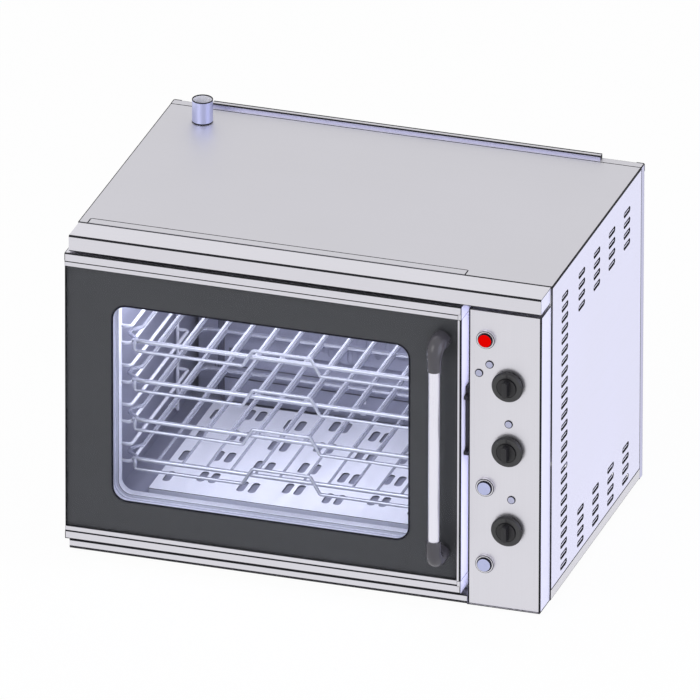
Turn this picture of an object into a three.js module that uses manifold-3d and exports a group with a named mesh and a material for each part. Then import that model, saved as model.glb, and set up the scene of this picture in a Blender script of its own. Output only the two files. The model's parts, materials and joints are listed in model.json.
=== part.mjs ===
// A countertop convection oven: folded steel casing, glass door hinged on the left,
// control panel on the right, and a lined cavity with four wire racks, a fan and a heater.
// Lengths are millimetres. X runs right from the left panel's outer face,
// Y runs back from the side panels' front edges, and Z runs up from their casing's underside.
import * as THREE from "three";
import { mergeVertices } from "three/addons/utils/BufferGeometryUtils.js";
import Module from "manifold-3d";

const wasm = await Module();
wasm.setup();

// Driving sizes
const sheet = 1.2; // folded steel
const gap = 0.3; // between separate pieces that seat on each other
const overrun = 3; // how far a cutting tool passes what it cuts

const body = { width: 700, depth: 434.6, height: 487.4 };
const pan = { wall: 16, tongue: 46, lip: 14, inset: 2 };
const backFlange = 15;
const rearLip = { left: 60, rightInset: 63, depth: 9.6, height: 6, corner: 5 };
const visor = { depth: 47, height: 24.4, inset: 2, bend: 2.5, lip: 11, backFlange: 12.4 };
const frontFlange = { left: 15, rightInset: 130, depth: 15.7 };
const panel = { width: 107, inset: 2, depth: 44, bend: 2.5, bottom: 1.8, topDrop: 30.4 };
const wiringWindow = { margin: 9, bottom: 25, topMargin: 37 };
const foot = { radius: 15, height: 4, insetX: 45, insetY: 45 };

const cavity = { left: 48, rightInset: 61, bottom: 62, topInset: 83.4, backInset: 34.6 };
const mouth = { inset: 12, corner: 20, sill: 14.7 };
const insulation = { wall: 20 };
const gasket = { width: 12, spread: 4 };

const door = { overhang: 3.6, panelGap: 8.9, bottom: 16, visorGap: 2, depth: 37, front: 50 };
const glass = { thickness: 4, setBack: 2.5 };
const border = {
  thickness: 1, windowLeft: 70.1, windowRight: 79.4, windowBottom: 69.4, windowTop: 74.6, corner: 20,
};
const rail = { bottomFace: 13.2, bottomLip: 6.2, topFace: 12.3, topLip: 8, lipStep: 1 };
const stileFace = 5.3;
const doorWindow = { margin: 12, corner: 24 };
const innerGlass = { lap: 18, clearance: 0.6 };
const hinge = {
  x: 8, back: 30, pinRadius: 4, pinClearance: 0.3, plate: 3, plateWidth: 27, clear: 4, engage: 14, leg: 7,
};
const handle = {
  rightInset: 30.3, standOff: 31.7, tubeRadius: 8.2, tubeBottomInset: 92, tubeTopInset: 90,
  elbowRadius: 10.4, baseRadius: 14, lowerBaseInset: 59.4, upperBaseInset: 54.6, bend: 16,
};
const doorCatch = {
  bottomShare: 0.4652, height: 107.5, thickness: 5, depth: 16, lug: 8, lugHeight: 6, lugInset: 4, nose: 14,
};
const keeper = { height: 46, thickness: 6, depth: 10 };

const knob = {
  radius: 23, taper: 2, skirt: 8, rim: 5, boss: 13.5, bossHeight: 1.5, grip: 9.5, gripHeight: 12, standOff: 1.5,
};
const spindle = { radius: 3, length: 26 };
const knobPlace = { rightInset: 50, heightShares: [0.7597, 0.5384, 0.2678] };
const control = { width: 46, height: 44, depth: 34, bushRadius: 5 };
const button = { head: 10, plunger: 8.6, headHeight: 3.8, travel: 3, proud: 9, length: 20 };
const bezel = { radius: 13.6, height: 5, barrel: 12.2, length: 21, wall: 1.6 };
const buttonPlace = { rightInset: 83, heightShares: [0.9077, 0.4047, 0.1432] };
const lampLens = { radius: 6, proud: 1.6, stem: 4.7, length: 18 };
const lampBeside = {
  upperX: 28, upperZ: 28.4, lowerX: 43.4, lowerZ: 13.4,
  timerX: -0.4, timerZ: 40.5, functionX: -4.9, functionZ: 46.9,
};

const baffle = {
  backInset: 45, offset: 20, flange: 30, slope: 14, sideGap: 9, endGap: 4, spacerRadius: 4, spacerInset: 15,
};
const intake = {
  radius: 82, slot: 7, pitch: 14, tab: 8, tabHeight: 1, tabPitchX: 40, tabPitchZ: 18, tabLow: 10,
};
const fan = {
  radius: 88, thickness: 2, depth: 28, hub: 13, bladeInner: 42, blade: 2, shaft: 5, clear: 5, bladeTilt: 8,
};
const motor = { radius: 40, length: 60, plate: 3, plateSide: 110, holeClearance: 7 };
const heater = { radius: 106, tube: 4, forward: 20, legGap: 22, tail: 8 };
const rearCover = { width: 300, height: 250, depth: 56, flange: 10, slot: 6, slotLength: 96, slotPitch: 24 };
const gland = { radius: 10, nut: 13, nutHeight: 6, length: 20, bore: 4.5, rightInset: 60, height: 45 };
const lamp = { back: 180, topInset: 74, radius: 24, lens: 28, depth: 19, lensHeight: 5 };
const pipe = { leftInset: 13.8, backInset: 24.3, radius: 15, neck: 12, wall: 1.2, height: 35 };

const floorPlate = { side: 43.6, front: 37.4, backInset: 60, height: 8 };
const floorSlot = {
  width: 10, length: 33, pairGap: 17, pitchShare: 0.16033, first: 45.6, lastInset: 42.5, stagger: 13.5,
};
const outerSlot = { shift: 8.5 };
const sideSlot = {
  width: 7, length: 28.6, firstRow: 30.5, lastRowInset: 39.4,
  firstColumn: 59, nearPitch: 79, lastColumnInset: 68.3,
};

const rack = {
  firstShare: 0.16404, pitchShare: 0.17924, side: 24, front: 27, backInset: 55,
  barRadius: 3.4, wireRadius: 2, frameRadius: 2.5, crossShare: 0.08295,
  drop: 13.4, dipForward: 4.5, dipInset: 4.9, dipBend: 1.5, corner: 12,
  humpHalfTop: 42.5, humpHalfBase: 57.4, humpRise: 11.7, humpShift: 5.4,
};
const rackLoop = { out: 12, start: 34, straight: 12, slope: 14 };
const ladder = {
  rodInset: 6, front: 27, backInset: 113, bottomInset: 12, topInset: 8, radius: 2.5,
  runner: 22, guardRise: 26.5, studInset: 4,
};

// Counts
const roundSides = 20;
const smallSides = 12;
const wireSides = 6;
const thinSides = 4;
const slotArc = 3;
const cornerArc = 3;
const sideRows = 26;
const sideShortRows = 4;
const sideShortColumns = 4;
const rackCount = 4;
const crossWires = 11;
const floorRows = 4;
const floorSideColumns = 3;
const intakeSlots = 11;
const fanBlades = 10;
const heaterSteps = 30;
const elbowSteps = 7;
const coverRows = 6;

// Places that follow from the driving sizes
const panelRight = body.width - panel.inset;
const panelLeft = panelRight - panel.width;
const panelTop = body.height - panel.topDrop;
const visorBottom = body.height - visor.height;
const topUnder = body.height - sheet;
const frameFront = gap;
const frameBack = frameFront + sheet;
const shellBack = body.depth - backFlange - gap;
const panelFace = -panel.depth;

const doorLeft = -door.overhang;
const doorRight = panelLeft - door.panelGap;
const doorBottom = door.bottom;
const doorTop = visorBottom - door.visorGap;
const doorFront = -door.front;
const doorBack = doorFront + door.depth;
const glassFront = doorFront + glass.setBack;
const glassBack = glassFront + glass.thickness;

const cavityRight = panelLeft - cavity.rightInset;
const cavityTop = body.height - cavity.topInset;
const cavityBack = body.depth - cavity.backInset;
const cavityMiddle = (cavity.left + cavityRight) / 2;
const cavityCentre = (cavity.bottom + cavityTop) / 2;
const linerFront = frameBack + gap;
const woolBack = cavityBack + sheet + gap + insulation.wall;
const mouthBox = [
  cavity.left + mouth.inset,
  cavity.bottom + mouth.inset,
  cavityRight - mouth.inset,
  cavityTop - mouth.inset,
];
const bafflePlane = cavityBack - baffle.backInset;
const pipeX = cavity.left + pipe.leftInset;
const pipeY = cavityBack - pipe.backInset;
const lampZ = cavityTop - lamp.topInset;
const rackBack = cavityBack - rack.backInset;
const rackHeights = Array.from({ length: rackCount }, (_, k) =>
  cavity.bottom + (cavityTop - cavity.bottom) * (rack.firstShare + k * rack.pitchShare));
const handleX = doorRight - handle.rightInset;
const handleY = glassFront - handle.standOff;
const knobX = body.width - knobPlace.rightInset;
const buttonX = body.width - buttonPlace.rightInset;

// Heights on the control panel, and the small lamps' places beside their knobs
const panelHeightAt = (share) => panel.bottom + (panelTop - panel.bottom) * share;
const knobHeights = knobPlace.heightShares.map(panelHeightAt);
const buttonHeights = buttonPlace.heightShares.map(panelHeightAt);
const [temperatureZ, timerZ, functionZ] = knobHeights;
const lampPlaces = [
  [knobX - lampBeside.upperX, temperatureZ + lampBeside.upperZ],
  [knobX - lampBeside.lowerX, temperatureZ + lampBeside.lowerZ],
  [knobX - lampBeside.timerX, timerZ + lampBeside.timerZ],
  [knobX - lampBeside.functionX, functionZ + lampBeside.functionZ],
];

// Finishes
const finish = (color, roughness, metalness, more = {}) =>
  new THREE.MeshStandardMaterial({ color, roughness, metalness, ...more });
const steel = finish(0xd6d5dc, 0.35, 0.9);
const liningSteel = finish(0x8a8ca0, 0.45, 0.8);
const brightSteel = finish(0xd4d4e4, 0.3, 0.9);
const wire = finish(0xdcdce6, 0.25, 1);
const blackPlastic = finish(0x26252b, 0.5, 0);
const darkPlastic = finish(0x57565b, 0.45, 0);
const printedBlack = finish(0x4d4d4f, 0.4, 0);
const clearGlass = finish(0xdfe4ee, 0.05, 0, { transparent: true, opacity: 0.25 });
const rubber = finish(0x303034, 0.85, 0);
const wool = finish(0xd8cfa8, 0.95, 0);
const redPlastic = finish(0xe30600, 0.35, 0);
const palePlastic = finish(0xb0b6da, 0.35, 0);
const lampPlastic = finish(0xbbbbd7, 0.3, 0);
const heaterMetal = finish(0x6b665f, 0.5, 0.8);

// Solids: a geometry becomes a closed solid, and a solid becomes a mesh again
function solidOf(geometry) {
  const bare = new THREE.BufferGeometry();
  bare.setAttribute("position", geometry.getAttribute("position").clone());
  if (geometry.index) bare.setIndex(geometry.index.clone());
  const merged = mergeVertices(bare, 1e-4);
  const mesh = new wasm.Mesh({
    numProp: 3,
    vertProperties: new Float32Array(merged.attributes.position.array),
    triVerts: new Uint32Array(merged.index.array),
  });
  return new wasm.Manifold(mesh);
}

function meshOf(name, solid, material) {
  const { vertProperties, triVerts } = solid.getMesh();
  const geometry = new THREE.BufferGeometry();
  geometry.setAttribute("position", new THREE.BufferAttribute(vertProperties, 3));
  geometry.setIndex(new THREE.BufferAttribute(triVerts, 1));
  geometry.computeVertexNormals();
  const mesh = new THREE.Mesh(geometry, material);
  mesh.name = name;
  return mesh;
}

const join = (...solids) => solids.reduce((whole, one) => whole.add(one));
const cut = (solid, ...tools) => tools.reduce((left, tool) => left.subtract(tool), solid);

// A block between two corners
function block([x0, y0, z0], [x1, y1, z1]) {
  const geometry = new THREE.BoxGeometry(x1 - x0, y1 - y0, z1 - z0);
  return solidOf(geometry.translate((x0 + x1) / 2, (y0 + y1) / 2, (z0 + z1) / 2));
}

// An outline in X and Z, made solid from one Y to another
function plateXZ(shape, front, back, curveSegments = cornerArc) {
  const options = { depth: back - front, bevelEnabled: false, curveSegments };
  const geometry = new THREE.ExtrudeGeometry(shape, options);
  return solidOf(geometry.rotateX(Math.PI / 2).translate(0, back, 0));
}

// An outline in X and Y, made solid from one Z to another
function plateXY(shape, bottom, top, curveSegments = cornerArc) {
  const options = { depth: top - bottom, bevelEnabled: false, curveSegments };
  const geometry = new THREE.ExtrudeGeometry(shape, options);
  return solidOf(geometry.translate(0, 0, bottom));
}

// An outline in Y and Z, made solid from one X to another
function plateYZ(shape, left, right, curveSegments = cornerArc) {
  const options = { depth: right - left, bevelEnabled: false, curveSegments };
  const geometry = new THREE.ExtrudeGeometry(shape, options);
  const turn = new THREE.Matrix4().set(0, 0, 1, left, 1, 0, 0, 0, 0, 1, 0, 0, 0, 0, 0, 1);
  return solidOf(geometry.applyMatrix4(turn));
}

// A rectangle with round corners
function roundRect([x0, y0, x1, y1], radius) {
  const shape = new THREE.Shape();
  shape.moveTo(x0 + radius, y0);
  shape.lineTo(x1 - radius, y0);
  shape.absarc(x1 - radius, y0 + radius, radius, -Math.PI / 2, 0);
  shape.lineTo(x1, y1 - radius);
  shape.absarc(x1 - radius, y1 - radius, radius, 0, Math.PI / 2);
  shape.lineTo(x0 + radius, y1);
  shape.absarc(x0 + radius, y1 - radius, radius, Math.PI / 2, Math.PI);
  shape.lineTo(x0, y0 + radius);
  shape.absarc(x0 + radius, y0 + radius, radius, Math.PI, (3 * Math.PI) / 2);
  return shape;
}

// A slot with half-round ends, its length along the outline's first axis or its second
function slotShape(u, v, length, width, alongSecond = false) {
  const half = (length - width) / 2;
  const points = [];
  for (const end of [1, -1]) {
    for (let k = 0; k <= slotArc; k += 1) {
      const angle = Math.PI * (k / slotArc - 1 / 2);
      const along = end * (half + (width / 2) * Math.cos(angle));
      const across = end * (width / 2) * Math.sin(angle);
      points.push(alongSecond ? [u - across, v + along] : [u + along, v + across]);
    }
  }
  return polygon(points);
}

// A straight-sided polygon
function polygon(points) {
  return new THREE.Shape(points.map(([u, v]) => new THREE.Vector2(u, v)));
}

// A solid of revolution about the Y axis through (x, z); its profile is [radius, y] pairs
function turnedY(x, z, profile, sides = roundSides) {
  const points = profile.map(([radius, y]) => new THREE.Vector2(radius, y));
  return solidOf(new THREE.LatheGeometry(points, sides).translate(x, 0, z));
}

// A solid of revolution about the Z axis through (x, y); its profile is [radius, z] pairs
function turnedZ(x, y, profile, sides = roundSides) {
  const points = profile.map(([radius, z]) => new THREE.Vector2(radius, z));
  return solidOf(new THREE.LatheGeometry(points, sides).rotateX(Math.PI / 2).translate(x, y, 0));
}

const rodProfile = (radius, from, to) => [[0, from], [radius, from], [radius, to], [0, to]];
const tubeProfile = (inner, outer, from, to) =>
  [[inner, from], [outer, from], [outer, to], [inner, to], [inner, from]];
const rodY = (x, z, radius, from, to, sides) => turnedY(x, z, rodProfile(radius, from, to), sides);
const rodZ = (x, y, radius, from, to, sides) => turnedZ(x, y, rodProfile(radius, from, to), sides);

function rodX(y, z, radius, from, to, sides = smallSides) {
  const geometry = new THREE.CylinderGeometry(radius, radius, to - from, sides);
  return solidOf(geometry.rotateZ(Math.PI / 2).translate((from + to) / 2, y, z));
}

// A bent wire through a list of points, with mitred bends; radii is one radius or one for each point
function bentWire(points, radii, sides = wireSides) {
  const path = points.map((p) => new THREE.Vector3(...p));
  const last = path.length - 1;
  const positions = [];
  const index = [];
  const heading = (k) => {
    const from = Math.min(k, last - 1);
    return path[from + 1].clone().sub(path[from]).normalize();
  };
  let across = null;
  for (let k = 0; k <= last; k += 1) {
    const before = heading(Math.max(k - 1, 0));
    const after = heading(k);
    const along = before.clone().add(after).normalize();
    if (!across) {
      const steep = Math.abs(along.z) > Math.SQRT1_2;
      const helper = steep ? new THREE.Vector3(1, 0, 0) : new THREE.Vector3(0, 0, 1);
      across = helper.sub(before.clone().multiplyScalar(helper.dot(before))).normalize();
    } else {
      across.sub(before.clone().multiplyScalar(across.dot(before))).normalize();
    }
    const second = new THREE.Vector3().crossVectors(before, across);
    const radius = Array.isArray(radii) ? radii[k] : radii;
    for (let s = 0; s < sides; s += 1) {
      const angle = (2 * Math.PI * s) / sides;
      const spoke = across.clone().multiplyScalar(Math.cos(angle)).addScaledVector(second, Math.sin(angle));
      spoke.multiplyScalar(radius);
      spoke.addScaledVector(before, -spoke.dot(along) / before.dot(along));
      positions.push(...path[k].clone().add(spoke).toArray());
    }
  }
  for (let k = 0; k < last; k += 1) {
    for (let s = 0; s < sides; s += 1) {
      const a = k * sides + s;
      const b = k * sides + ((s + 1) % sides);
      index.push(a, b, a + sides, b, b + sides, a + sides);
    }
  }
  for (let s = 1; s < sides - 1; s += 1) {
    index.push(0, s + 1, s);
    index.push(last * sides, last * sides + s, last * sides + s + 1);
  }
  const geometry = new THREE.BufferGeometry();
  geometry.setAttribute("position", new THREE.Float32BufferAttribute(positions, 3));
  geometry.setIndex(index);
  return solidOf(geometry);
}

const oven = new THREE.Group();
const add = (name, solid, material) => oven.add(meshOf(name, solid, material));

// Casing
function basePan() {
  const floor = block([0, 0, 0], [body.width, shellBack, sheet]);
  const tongue = block([pan.inset, -pan.tongue, 0], [body.width - pan.inset, sheet, sheet]);
  const lip = block([pan.inset, -pan.tongue, 0], [panelLeft - gap, -pan.tongue + sheet, pan.lip]);
  const leftWall = block([0, 0, 0], [sheet, shellBack, pan.wall]);
  const rightWall = block([body.width - sheet, 0, 0], [body.width, shellBack, pan.wall]);
  return join(floor, tongue, lip, leftWall, rightWall);
}

function sidePanel(left) {
  return block([left, 0, pan.wall + gap], [left + sheet, shellBack, topUnder - gap]);
}

function sideVents() {
  const tools = [];
  const secondColumn = sideSlot.firstColumn + sideSlot.nearPitch;
  const columnPitch = (shellBack - secondColumn - sideSlot.lastColumnInset) / (sideShortColumns - 1);
  const rowPitch = (body.height - sideSlot.firstRow - sideSlot.lastRowInset) / (sideRows - 1);
  for (let column = 0; column <= sideShortColumns; column += 1) {
    for (let row = 0; row < sideRows; row += 1) {
      const middleRow = row >= sideShortRows && row < sideRows - sideShortRows;
      if (column > 0 && middleRow) continue;
      const z = sideSlot.firstRow + row * rowPitch;
      const y = column > 0 ? secondColumn + (column - 1) * columnPitch : sideSlot.firstColumn;
      const slot = slotShape(y, z, sideSlot.length, sideSlot.width);
      tools.push(plateYZ(slot, body.width - sheet - overrun, body.width + overrun));
    }
  }
  return tools;
}

function topPanel() {
  const plate = block([0, frameFront, topUnder], [body.width, shellBack, body.height]);
  const notch = block(
    [frontFlange.left - gap, -overrun, topUnder - overrun],
    [body.width - frontFlange.rightInset + gap, frameFront + frontFlange.depth + gap, body.height + overrun],
  );
  const pipeHole = rodZ(pipeX, pipeY, pipe.neck + gap, topUnder - overrun, body.height + overrun);
  return cut(plate, notch, pipeHole);
}

function backPanel() {
  const front = shellBack + gap;
  const plate = block([0, body.depth - sheet, 0], [body.width, body.depth, body.height]);
  const left = block([0, front, 0], [sheet, body.depth, body.height]);
  const right = block([body.width - sheet, front, 0], [body.width, body.depth, body.height]);
  const top = block([0, front, topUnder], [body.width, body.depth, body.height]);
  const lipTop = body.height + rearLip.height;
  const lipBox = [rearLip.left, topUnder - rearLip.corner, body.width - rearLip.rightInset, lipTop];
  const lipFront = body.depth - rearLip.depth;
  const lipOuter = plateXZ(roundRect(lipBox, rearLip.corner), lipFront, body.depth);
  const below = block(
    [0, lipFront - overrun, topUnder - rearLip.corner - overrun],
    [body.width, body.depth - sheet, topUnder],
  );
  const hollow = block(
    [0, lipFront + sheet, body.height],
    [body.width, body.depth - sheet, lipTop - sheet],
  );
  const from = body.depth - sheet - overrun;
  const to = body.depth + overrun;
  const motorHole = rodY(cavityMiddle, cavityCentre, motor.radius + motor.holeClearance, from, to);
  const glandX = body.width - gland.rightInset;
  const glandHole = rodY(glandX, gland.height, gland.radius + gap, from, to, smallSides);
  return cut(join(plate, left, right, top, cut(lipOuter, below, hollow)), motorHole, glandHole);
}

function visorShell() {
  const left = visor.inset;
  const right = body.width - visor.inset;
  const profile = new THREE.Shape();
  profile.moveTo(0, visorBottom);
  profile.lineTo(0, body.height);
  profile.lineTo(-visor.depth + visor.bend, body.height);
  profile.absarc(-visor.depth + visor.bend, body.height - visor.bend, visor.bend, Math.PI / 2, Math.PI);
  profile.lineTo(-visor.depth, visorBottom);
  const outer = plateYZ(profile, left, right);
  const hollow = block(
    [left + sheet, -visor.depth + sheet, visorBottom + sheet],
    [right - sheet, -sheet, body.height - sheet],
  );
  const below = block(
    [left + sheet, -visor.depth + visor.lip, visorBottom - overrun],
    [right - sheet, overrun, body.height - visor.backFlange],
  );
  return cut(outer, hollow, below);
}

function frontFrame() {
  const left = sheet + gap;
  const right = body.width - sheet - gap;
  const plate = block([left, frameFront, sheet + gap], [right, frameBack, topUnder - gap]);
  const riser = block(
    [frontFlange.left, frameFront, topUnder - sheet],
    [body.width - frontFlange.rightInset, frameBack, body.height],
  );
  const flange = block(
    [frontFlange.left, frameFront, topUnder],
    [body.width - frontFlange.rightInset, frameFront + frontFlange.depth, body.height],
  );
  const [x0, z0, x1, z1] = mouthBox;
  const collarBox = [x0 - sheet, z0 - sheet, x1 + sheet, z1 + sheet];
  const collar = plateXZ(roundRect(collarBox, mouth.corner + sheet), frameFront, frameFront + mouth.sill);
  const behind = frameFront + mouth.sill + overrun;
  const opening = plateXZ(roundRect(mouthBox, mouth.corner), frameFront - overrun, behind);
  const wiring = block(
    [panelLeft + wiringWindow.margin, frameFront - overrun, wiringWindow.bottom],
    [panelRight - wiringWindow.margin, frameBack + overrun, body.height - wiringWindow.topMargin],
  );
  return cut(join(plate, riser, flange, collar), opening, wiring);
}

function controlPanel() {
  const outline = new THREE.Shape();
  outline.moveTo(panelLeft, 0);
  outline.lineTo(panelLeft, panelFace + panel.bend);
  outline.absarc(panelLeft + panel.bend, panelFace + panel.bend, panel.bend, Math.PI, (3 * Math.PI) / 2);
  outline.lineTo(panelRight - panel.bend, panelFace);
  outline.absarc(panelRight - panel.bend, panelFace + panel.bend, panel.bend, -Math.PI / 2, 0);
  outline.lineTo(panelRight, 0);
  const outer = plateXY(outline, panel.bottom, panelTop);
  const hollow = block(
    [panelLeft + sheet, panelFace + sheet, panel.bottom - overrun],
    [panelRight - sheet, overrun, panelTop - sheet],
  );
  const holes = [];
  const hole = (x, z, radius, sides) =>
    holes.push(rodY(x, z, radius + gap, panelFace - overrun, panelFace + sheet + overrun, sides));
  for (const z of knobHeights) hole(knobX, z, control.bushRadius, smallSides);
  for (const z of buttonHeights) hole(buttonX, z, bezel.barrel, roundSides);
  for (const [x, z] of lampPlaces) hole(x, z, lampLens.stem, smallSides);
  return cut(outer, hollow, ...holes);
}

function rearMotorCover() {
  const front = body.depth + gap;
  const x0 = cavityMiddle - rearCover.width / 2;
  const x1 = cavityMiddle + rearCover.width / 2;
  const z0 = cavityCentre - rearCover.height / 2;
  const z1 = cavityCentre + rearCover.height / 2;
  const back = front + rearCover.depth;
  const outer = block([x0, front, z0], [x1, back, z1]);
  const hollow = block([x0 + sheet, front - overrun, z0 + sheet], [x1 - sheet, back - sheet, z1 - sheet]);
  const rim = block(
    [x0 - rearCover.flange, front, z0 - rearCover.flange],
    [x1 + rearCover.flange, front + sheet, z1 + rearCover.flange],
  );
  const slots = [];
  for (let row = 0; row < coverRows; row += 1) {
    for (const side of [-1, 1]) {
      const x = cavityMiddle + (side * (rearCover.slotLength + rearCover.slotPitch)) / 2;
      const z = cavityCentre + (row - (coverRows - 1) / 2) * rearCover.slotPitch;
      const slot = slotShape(x, z, rearCover.slotLength, rearCover.slot);
      slots.push(plateXZ(slot, back - sheet - overrun, back + overrun));
    }
  }
  return cut(join(outer, rim), hollow, ...slots);
}

add("base_pan", basePan(), steel);
add("left_side_panel", sidePanel(0), steel);
add("right_side_panel", cut(sidePanel(body.width - sheet), ...sideVents()), steel);
add("back_panel", backPanel(), steel);
add("top_panel", topPanel(), steel);
add("visor", visorShell(), steel);
add("front_frame", frontFrame(), brightSteel);
add("control_panel", controlPanel(), steel);
add("rear_motor_cover", rearMotorCover(), steel);

// Feet
[[0, 0], [1, 0], [0, 1], [1, 1]].forEach(([right, back], k) => {
  const x = right ? body.width - foot.insetX : foot.insetX;
  const y = back ? shellBack - foot.insetY : foot.insetY - pan.tongue;
  add(`foot_${k + 1}`, rodZ(x, y, foot.radius, -gap - foot.height, -gap, smallSides), rubber);
});

// Cavity
function cavityLiner() {
  const outer = block(
    [cavity.left - sheet, linerFront, cavity.bottom - sheet],
    [cavityRight + sheet, cavityBack + sheet, cavityTop + sheet],
  );
  const hollow = block(
    [cavity.left, linerFront - overrun, cavity.bottom],
    [cavityRight, cavityBack, cavityTop],
  );
  const through = sheet + overrun;
  const back = [cavityBack - overrun, cavityBack + through];
  const side = [cavityRight - overrun, cavityRight + through];
  const shaftHole = rodY(cavityMiddle, cavityCentre, fan.shaft + gap, ...back, smallSides);
  const pipeHole = rodZ(pipeX, pipeY, pipe.neck + gap, cavityTop - overrun, cavityTop + through);
  const lampHole = rodX(lamp.back, lampZ, lamp.radius + gap, ...side, roundSides);
  return cut(outer, hollow, shaftHole, pipeHole, lampHole, ...heaterLegHoles(...back));
}

// The heater's two legs, side by side at the foot of its ring
const heaterHalfGap = Math.asin(heater.legGap / 2 / heater.radius);
const heaterLegs = [-1, 1].map((side) => [
  cavityMiddle + (side * heater.legGap) / 2,
  cavityCentre - heater.radius * Math.cos(heaterHalfGap),
]);

function heaterLegHoles(from, to) {
  return heaterLegs.map(([x, z]) => rodY(x, z, heater.tube + gap, from, to, smallSides));
}

function cavityInsulation() {
  const inner = gap + sheet;
  const outer = inner + insulation.wall;
  const blanket = block(
    [cavity.left - outer, linerFront, cavity.bottom - outer],
    [cavityRight + outer, woolBack, cavityTop + outer],
  );
  const hollow = block(
    [cavity.left - inner, linerFront - overrun, cavity.bottom - inner],
    [cavityRight + inner, cavityBack + inner, cavityTop + inner],
  );
  const through = outer + overrun;
  const back = [cavityBack, woolBack + overrun];
  const side = [cavityRight, cavityRight + through];
  const shaftHole = rodY(cavityMiddle, cavityCentre, fan.shaft + motor.holeClearance, ...back, smallSides);
  const pipeHole = rodZ(pipeX, pipeY, pipe.neck + gap, cavityTop, cavityTop + through);
  const lampHole = rodX(lamp.back, lampZ, lamp.radius + gap, ...side, roundSides);
  return cut(blanket, hollow, shaftHole, pipeHole, lampHole, ...heaterLegHoles(...back));
}

function fanBaffle() {
  const left = cavity.left + baffle.sideGap;
  const right = cavityRight - baffle.sideGap;
  const back = bafflePlane + baffle.offset;
  const front = [
    [left, back],
    [left + baffle.flange, back],
    [left + baffle.flange + baffle.slope, bafflePlane],
    [right - baffle.flange - baffle.slope, bafflePlane],
    [right - baffle.flange, back],
    [right, back],
  ];
  const rear = front.map(([x, y]) => [x, y + sheet]).reverse();
  const bottom = cavity.bottom + baffle.endGap;
  const top = cavityTop - baffle.endGap;
  const folded = plateXY(polygon([...front, ...rear]), bottom, top);
  const spacers = [];
  for (const x of [left + baffle.spacerInset, right - baffle.spacerInset]) {
    for (const z of [bottom + baffle.spacerInset, top - baffle.spacerInset]) {
      spacers.push(rodY(x, z, baffle.spacerRadius, back + sheet / 2, cavityBack - gap, wireSides));
    }
  }
  const tabs = [];
  for (const side of [-1, 1]) {
    for (const row of [0, 1]) {
      const x = cavityMiddle + (side * intake.tabPitchX) / 2;
      const z = bottom + intake.tabLow + row * intake.tabPitchZ;
      const half = intake.tab / 2;
      tabs.push(block(
        [x - half, bafflePlane - intake.tabHeight, z - half],
        [x + half, bafflePlane + sheet / 2, z + half],
      ));
    }
  }
  const slots = [];
  for (let k = 0; k < intakeSlots; k += 1) {
    const shift = (k - (intakeSlots - 1) / 2) * intake.pitch;
    const length = 2 * Math.sqrt(intake.radius ** 2 - shift ** 2);
    const slot = slotShape(cavityMiddle + shift, cavityCentre, length, intake.slot, true);
    slots.push(plateXZ(slot, bafflePlane - overrun, bafflePlane + sheet + overrun));
  }
  return cut(join(folded, ...spacers, ...tabs), ...slots);
}

function ringHeater() {
  const y = cavityBack - heater.forward;
  const tail = woolBack + heater.tail;
  const [[leftX, legZ], [rightX]] = heaterLegs;
  const points = [[leftX, tail, legZ]];
  for (let k = 0; k <= heaterSteps; k += 1) {
    const angle = -Math.PI / 2 - heaterHalfGap - (k / heaterSteps) * 2 * (Math.PI - heaterHalfGap);
    points.push([
      cavityMiddle + heater.radius * Math.cos(angle),
      y,
      cavityCentre + heater.radius * Math.sin(angle),
    ]);
  }
  points.push([rightX, tail, legZ]);
  return bentWire(points, heater.tube);
}

function floorPlateSolid() {
  const x0 = cavity.left + floorPlate.side;
  const x1 = cavityRight - floorPlate.side;
  const floorPlateBack = cavityBack - floorPlate.backInset;
  const bottom = cavity.bottom + gap;
  const top = cavity.bottom + floorPlate.height;
  const outer = block([x0, floorPlate.front, bottom], [x1, floorPlateBack, top]);
  const hollow = block(
    [x0 + sheet, floorPlate.front + sheet, bottom - overrun],
    [x1 - sheet, floorPlateBack - sheet, top - sheet],
  );
  const slots = [];
  const slotAt = (x, y) => slots.push(
    plateXY(slotShape(x, y, floorSlot.length, floorSlot.width, true), top - sheet - overrun, top + overrun),
  );
  const pitchX = (x1 - x0) * floorSlot.pitchShare;
  const slotSpan = floorPlateBack - floorPlate.front - floorSlot.first - floorSlot.lastInset;
  const pitchY = slotSpan / (floorRows - 1);
  for (let column = -floorSideColumns; column <= floorSideColumns; column += 1) {
    const x = cavityMiddle + column * pitchX;
    const staggered = Math.abs(column) % 2 === 0;
    const first = floorPlate.front + floorSlot.first + (staggered ? floorSlot.stagger : 0);
    for (let row = 0; row < floorRows; row += 1) {
      const y = first + row * pitchY;
      if (Math.abs(column) === floorSideColumns) {
        slotAt(x - Math.sign(column) * outerSlot.shift, y);
      } else {
        slotAt(x - floorSlot.pairGap / 2, y);
        slotAt(x + floorSlot.pairGap / 2, y);
      }
    }
  }
  return cut(outer, hollow, ...slots);
}

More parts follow.
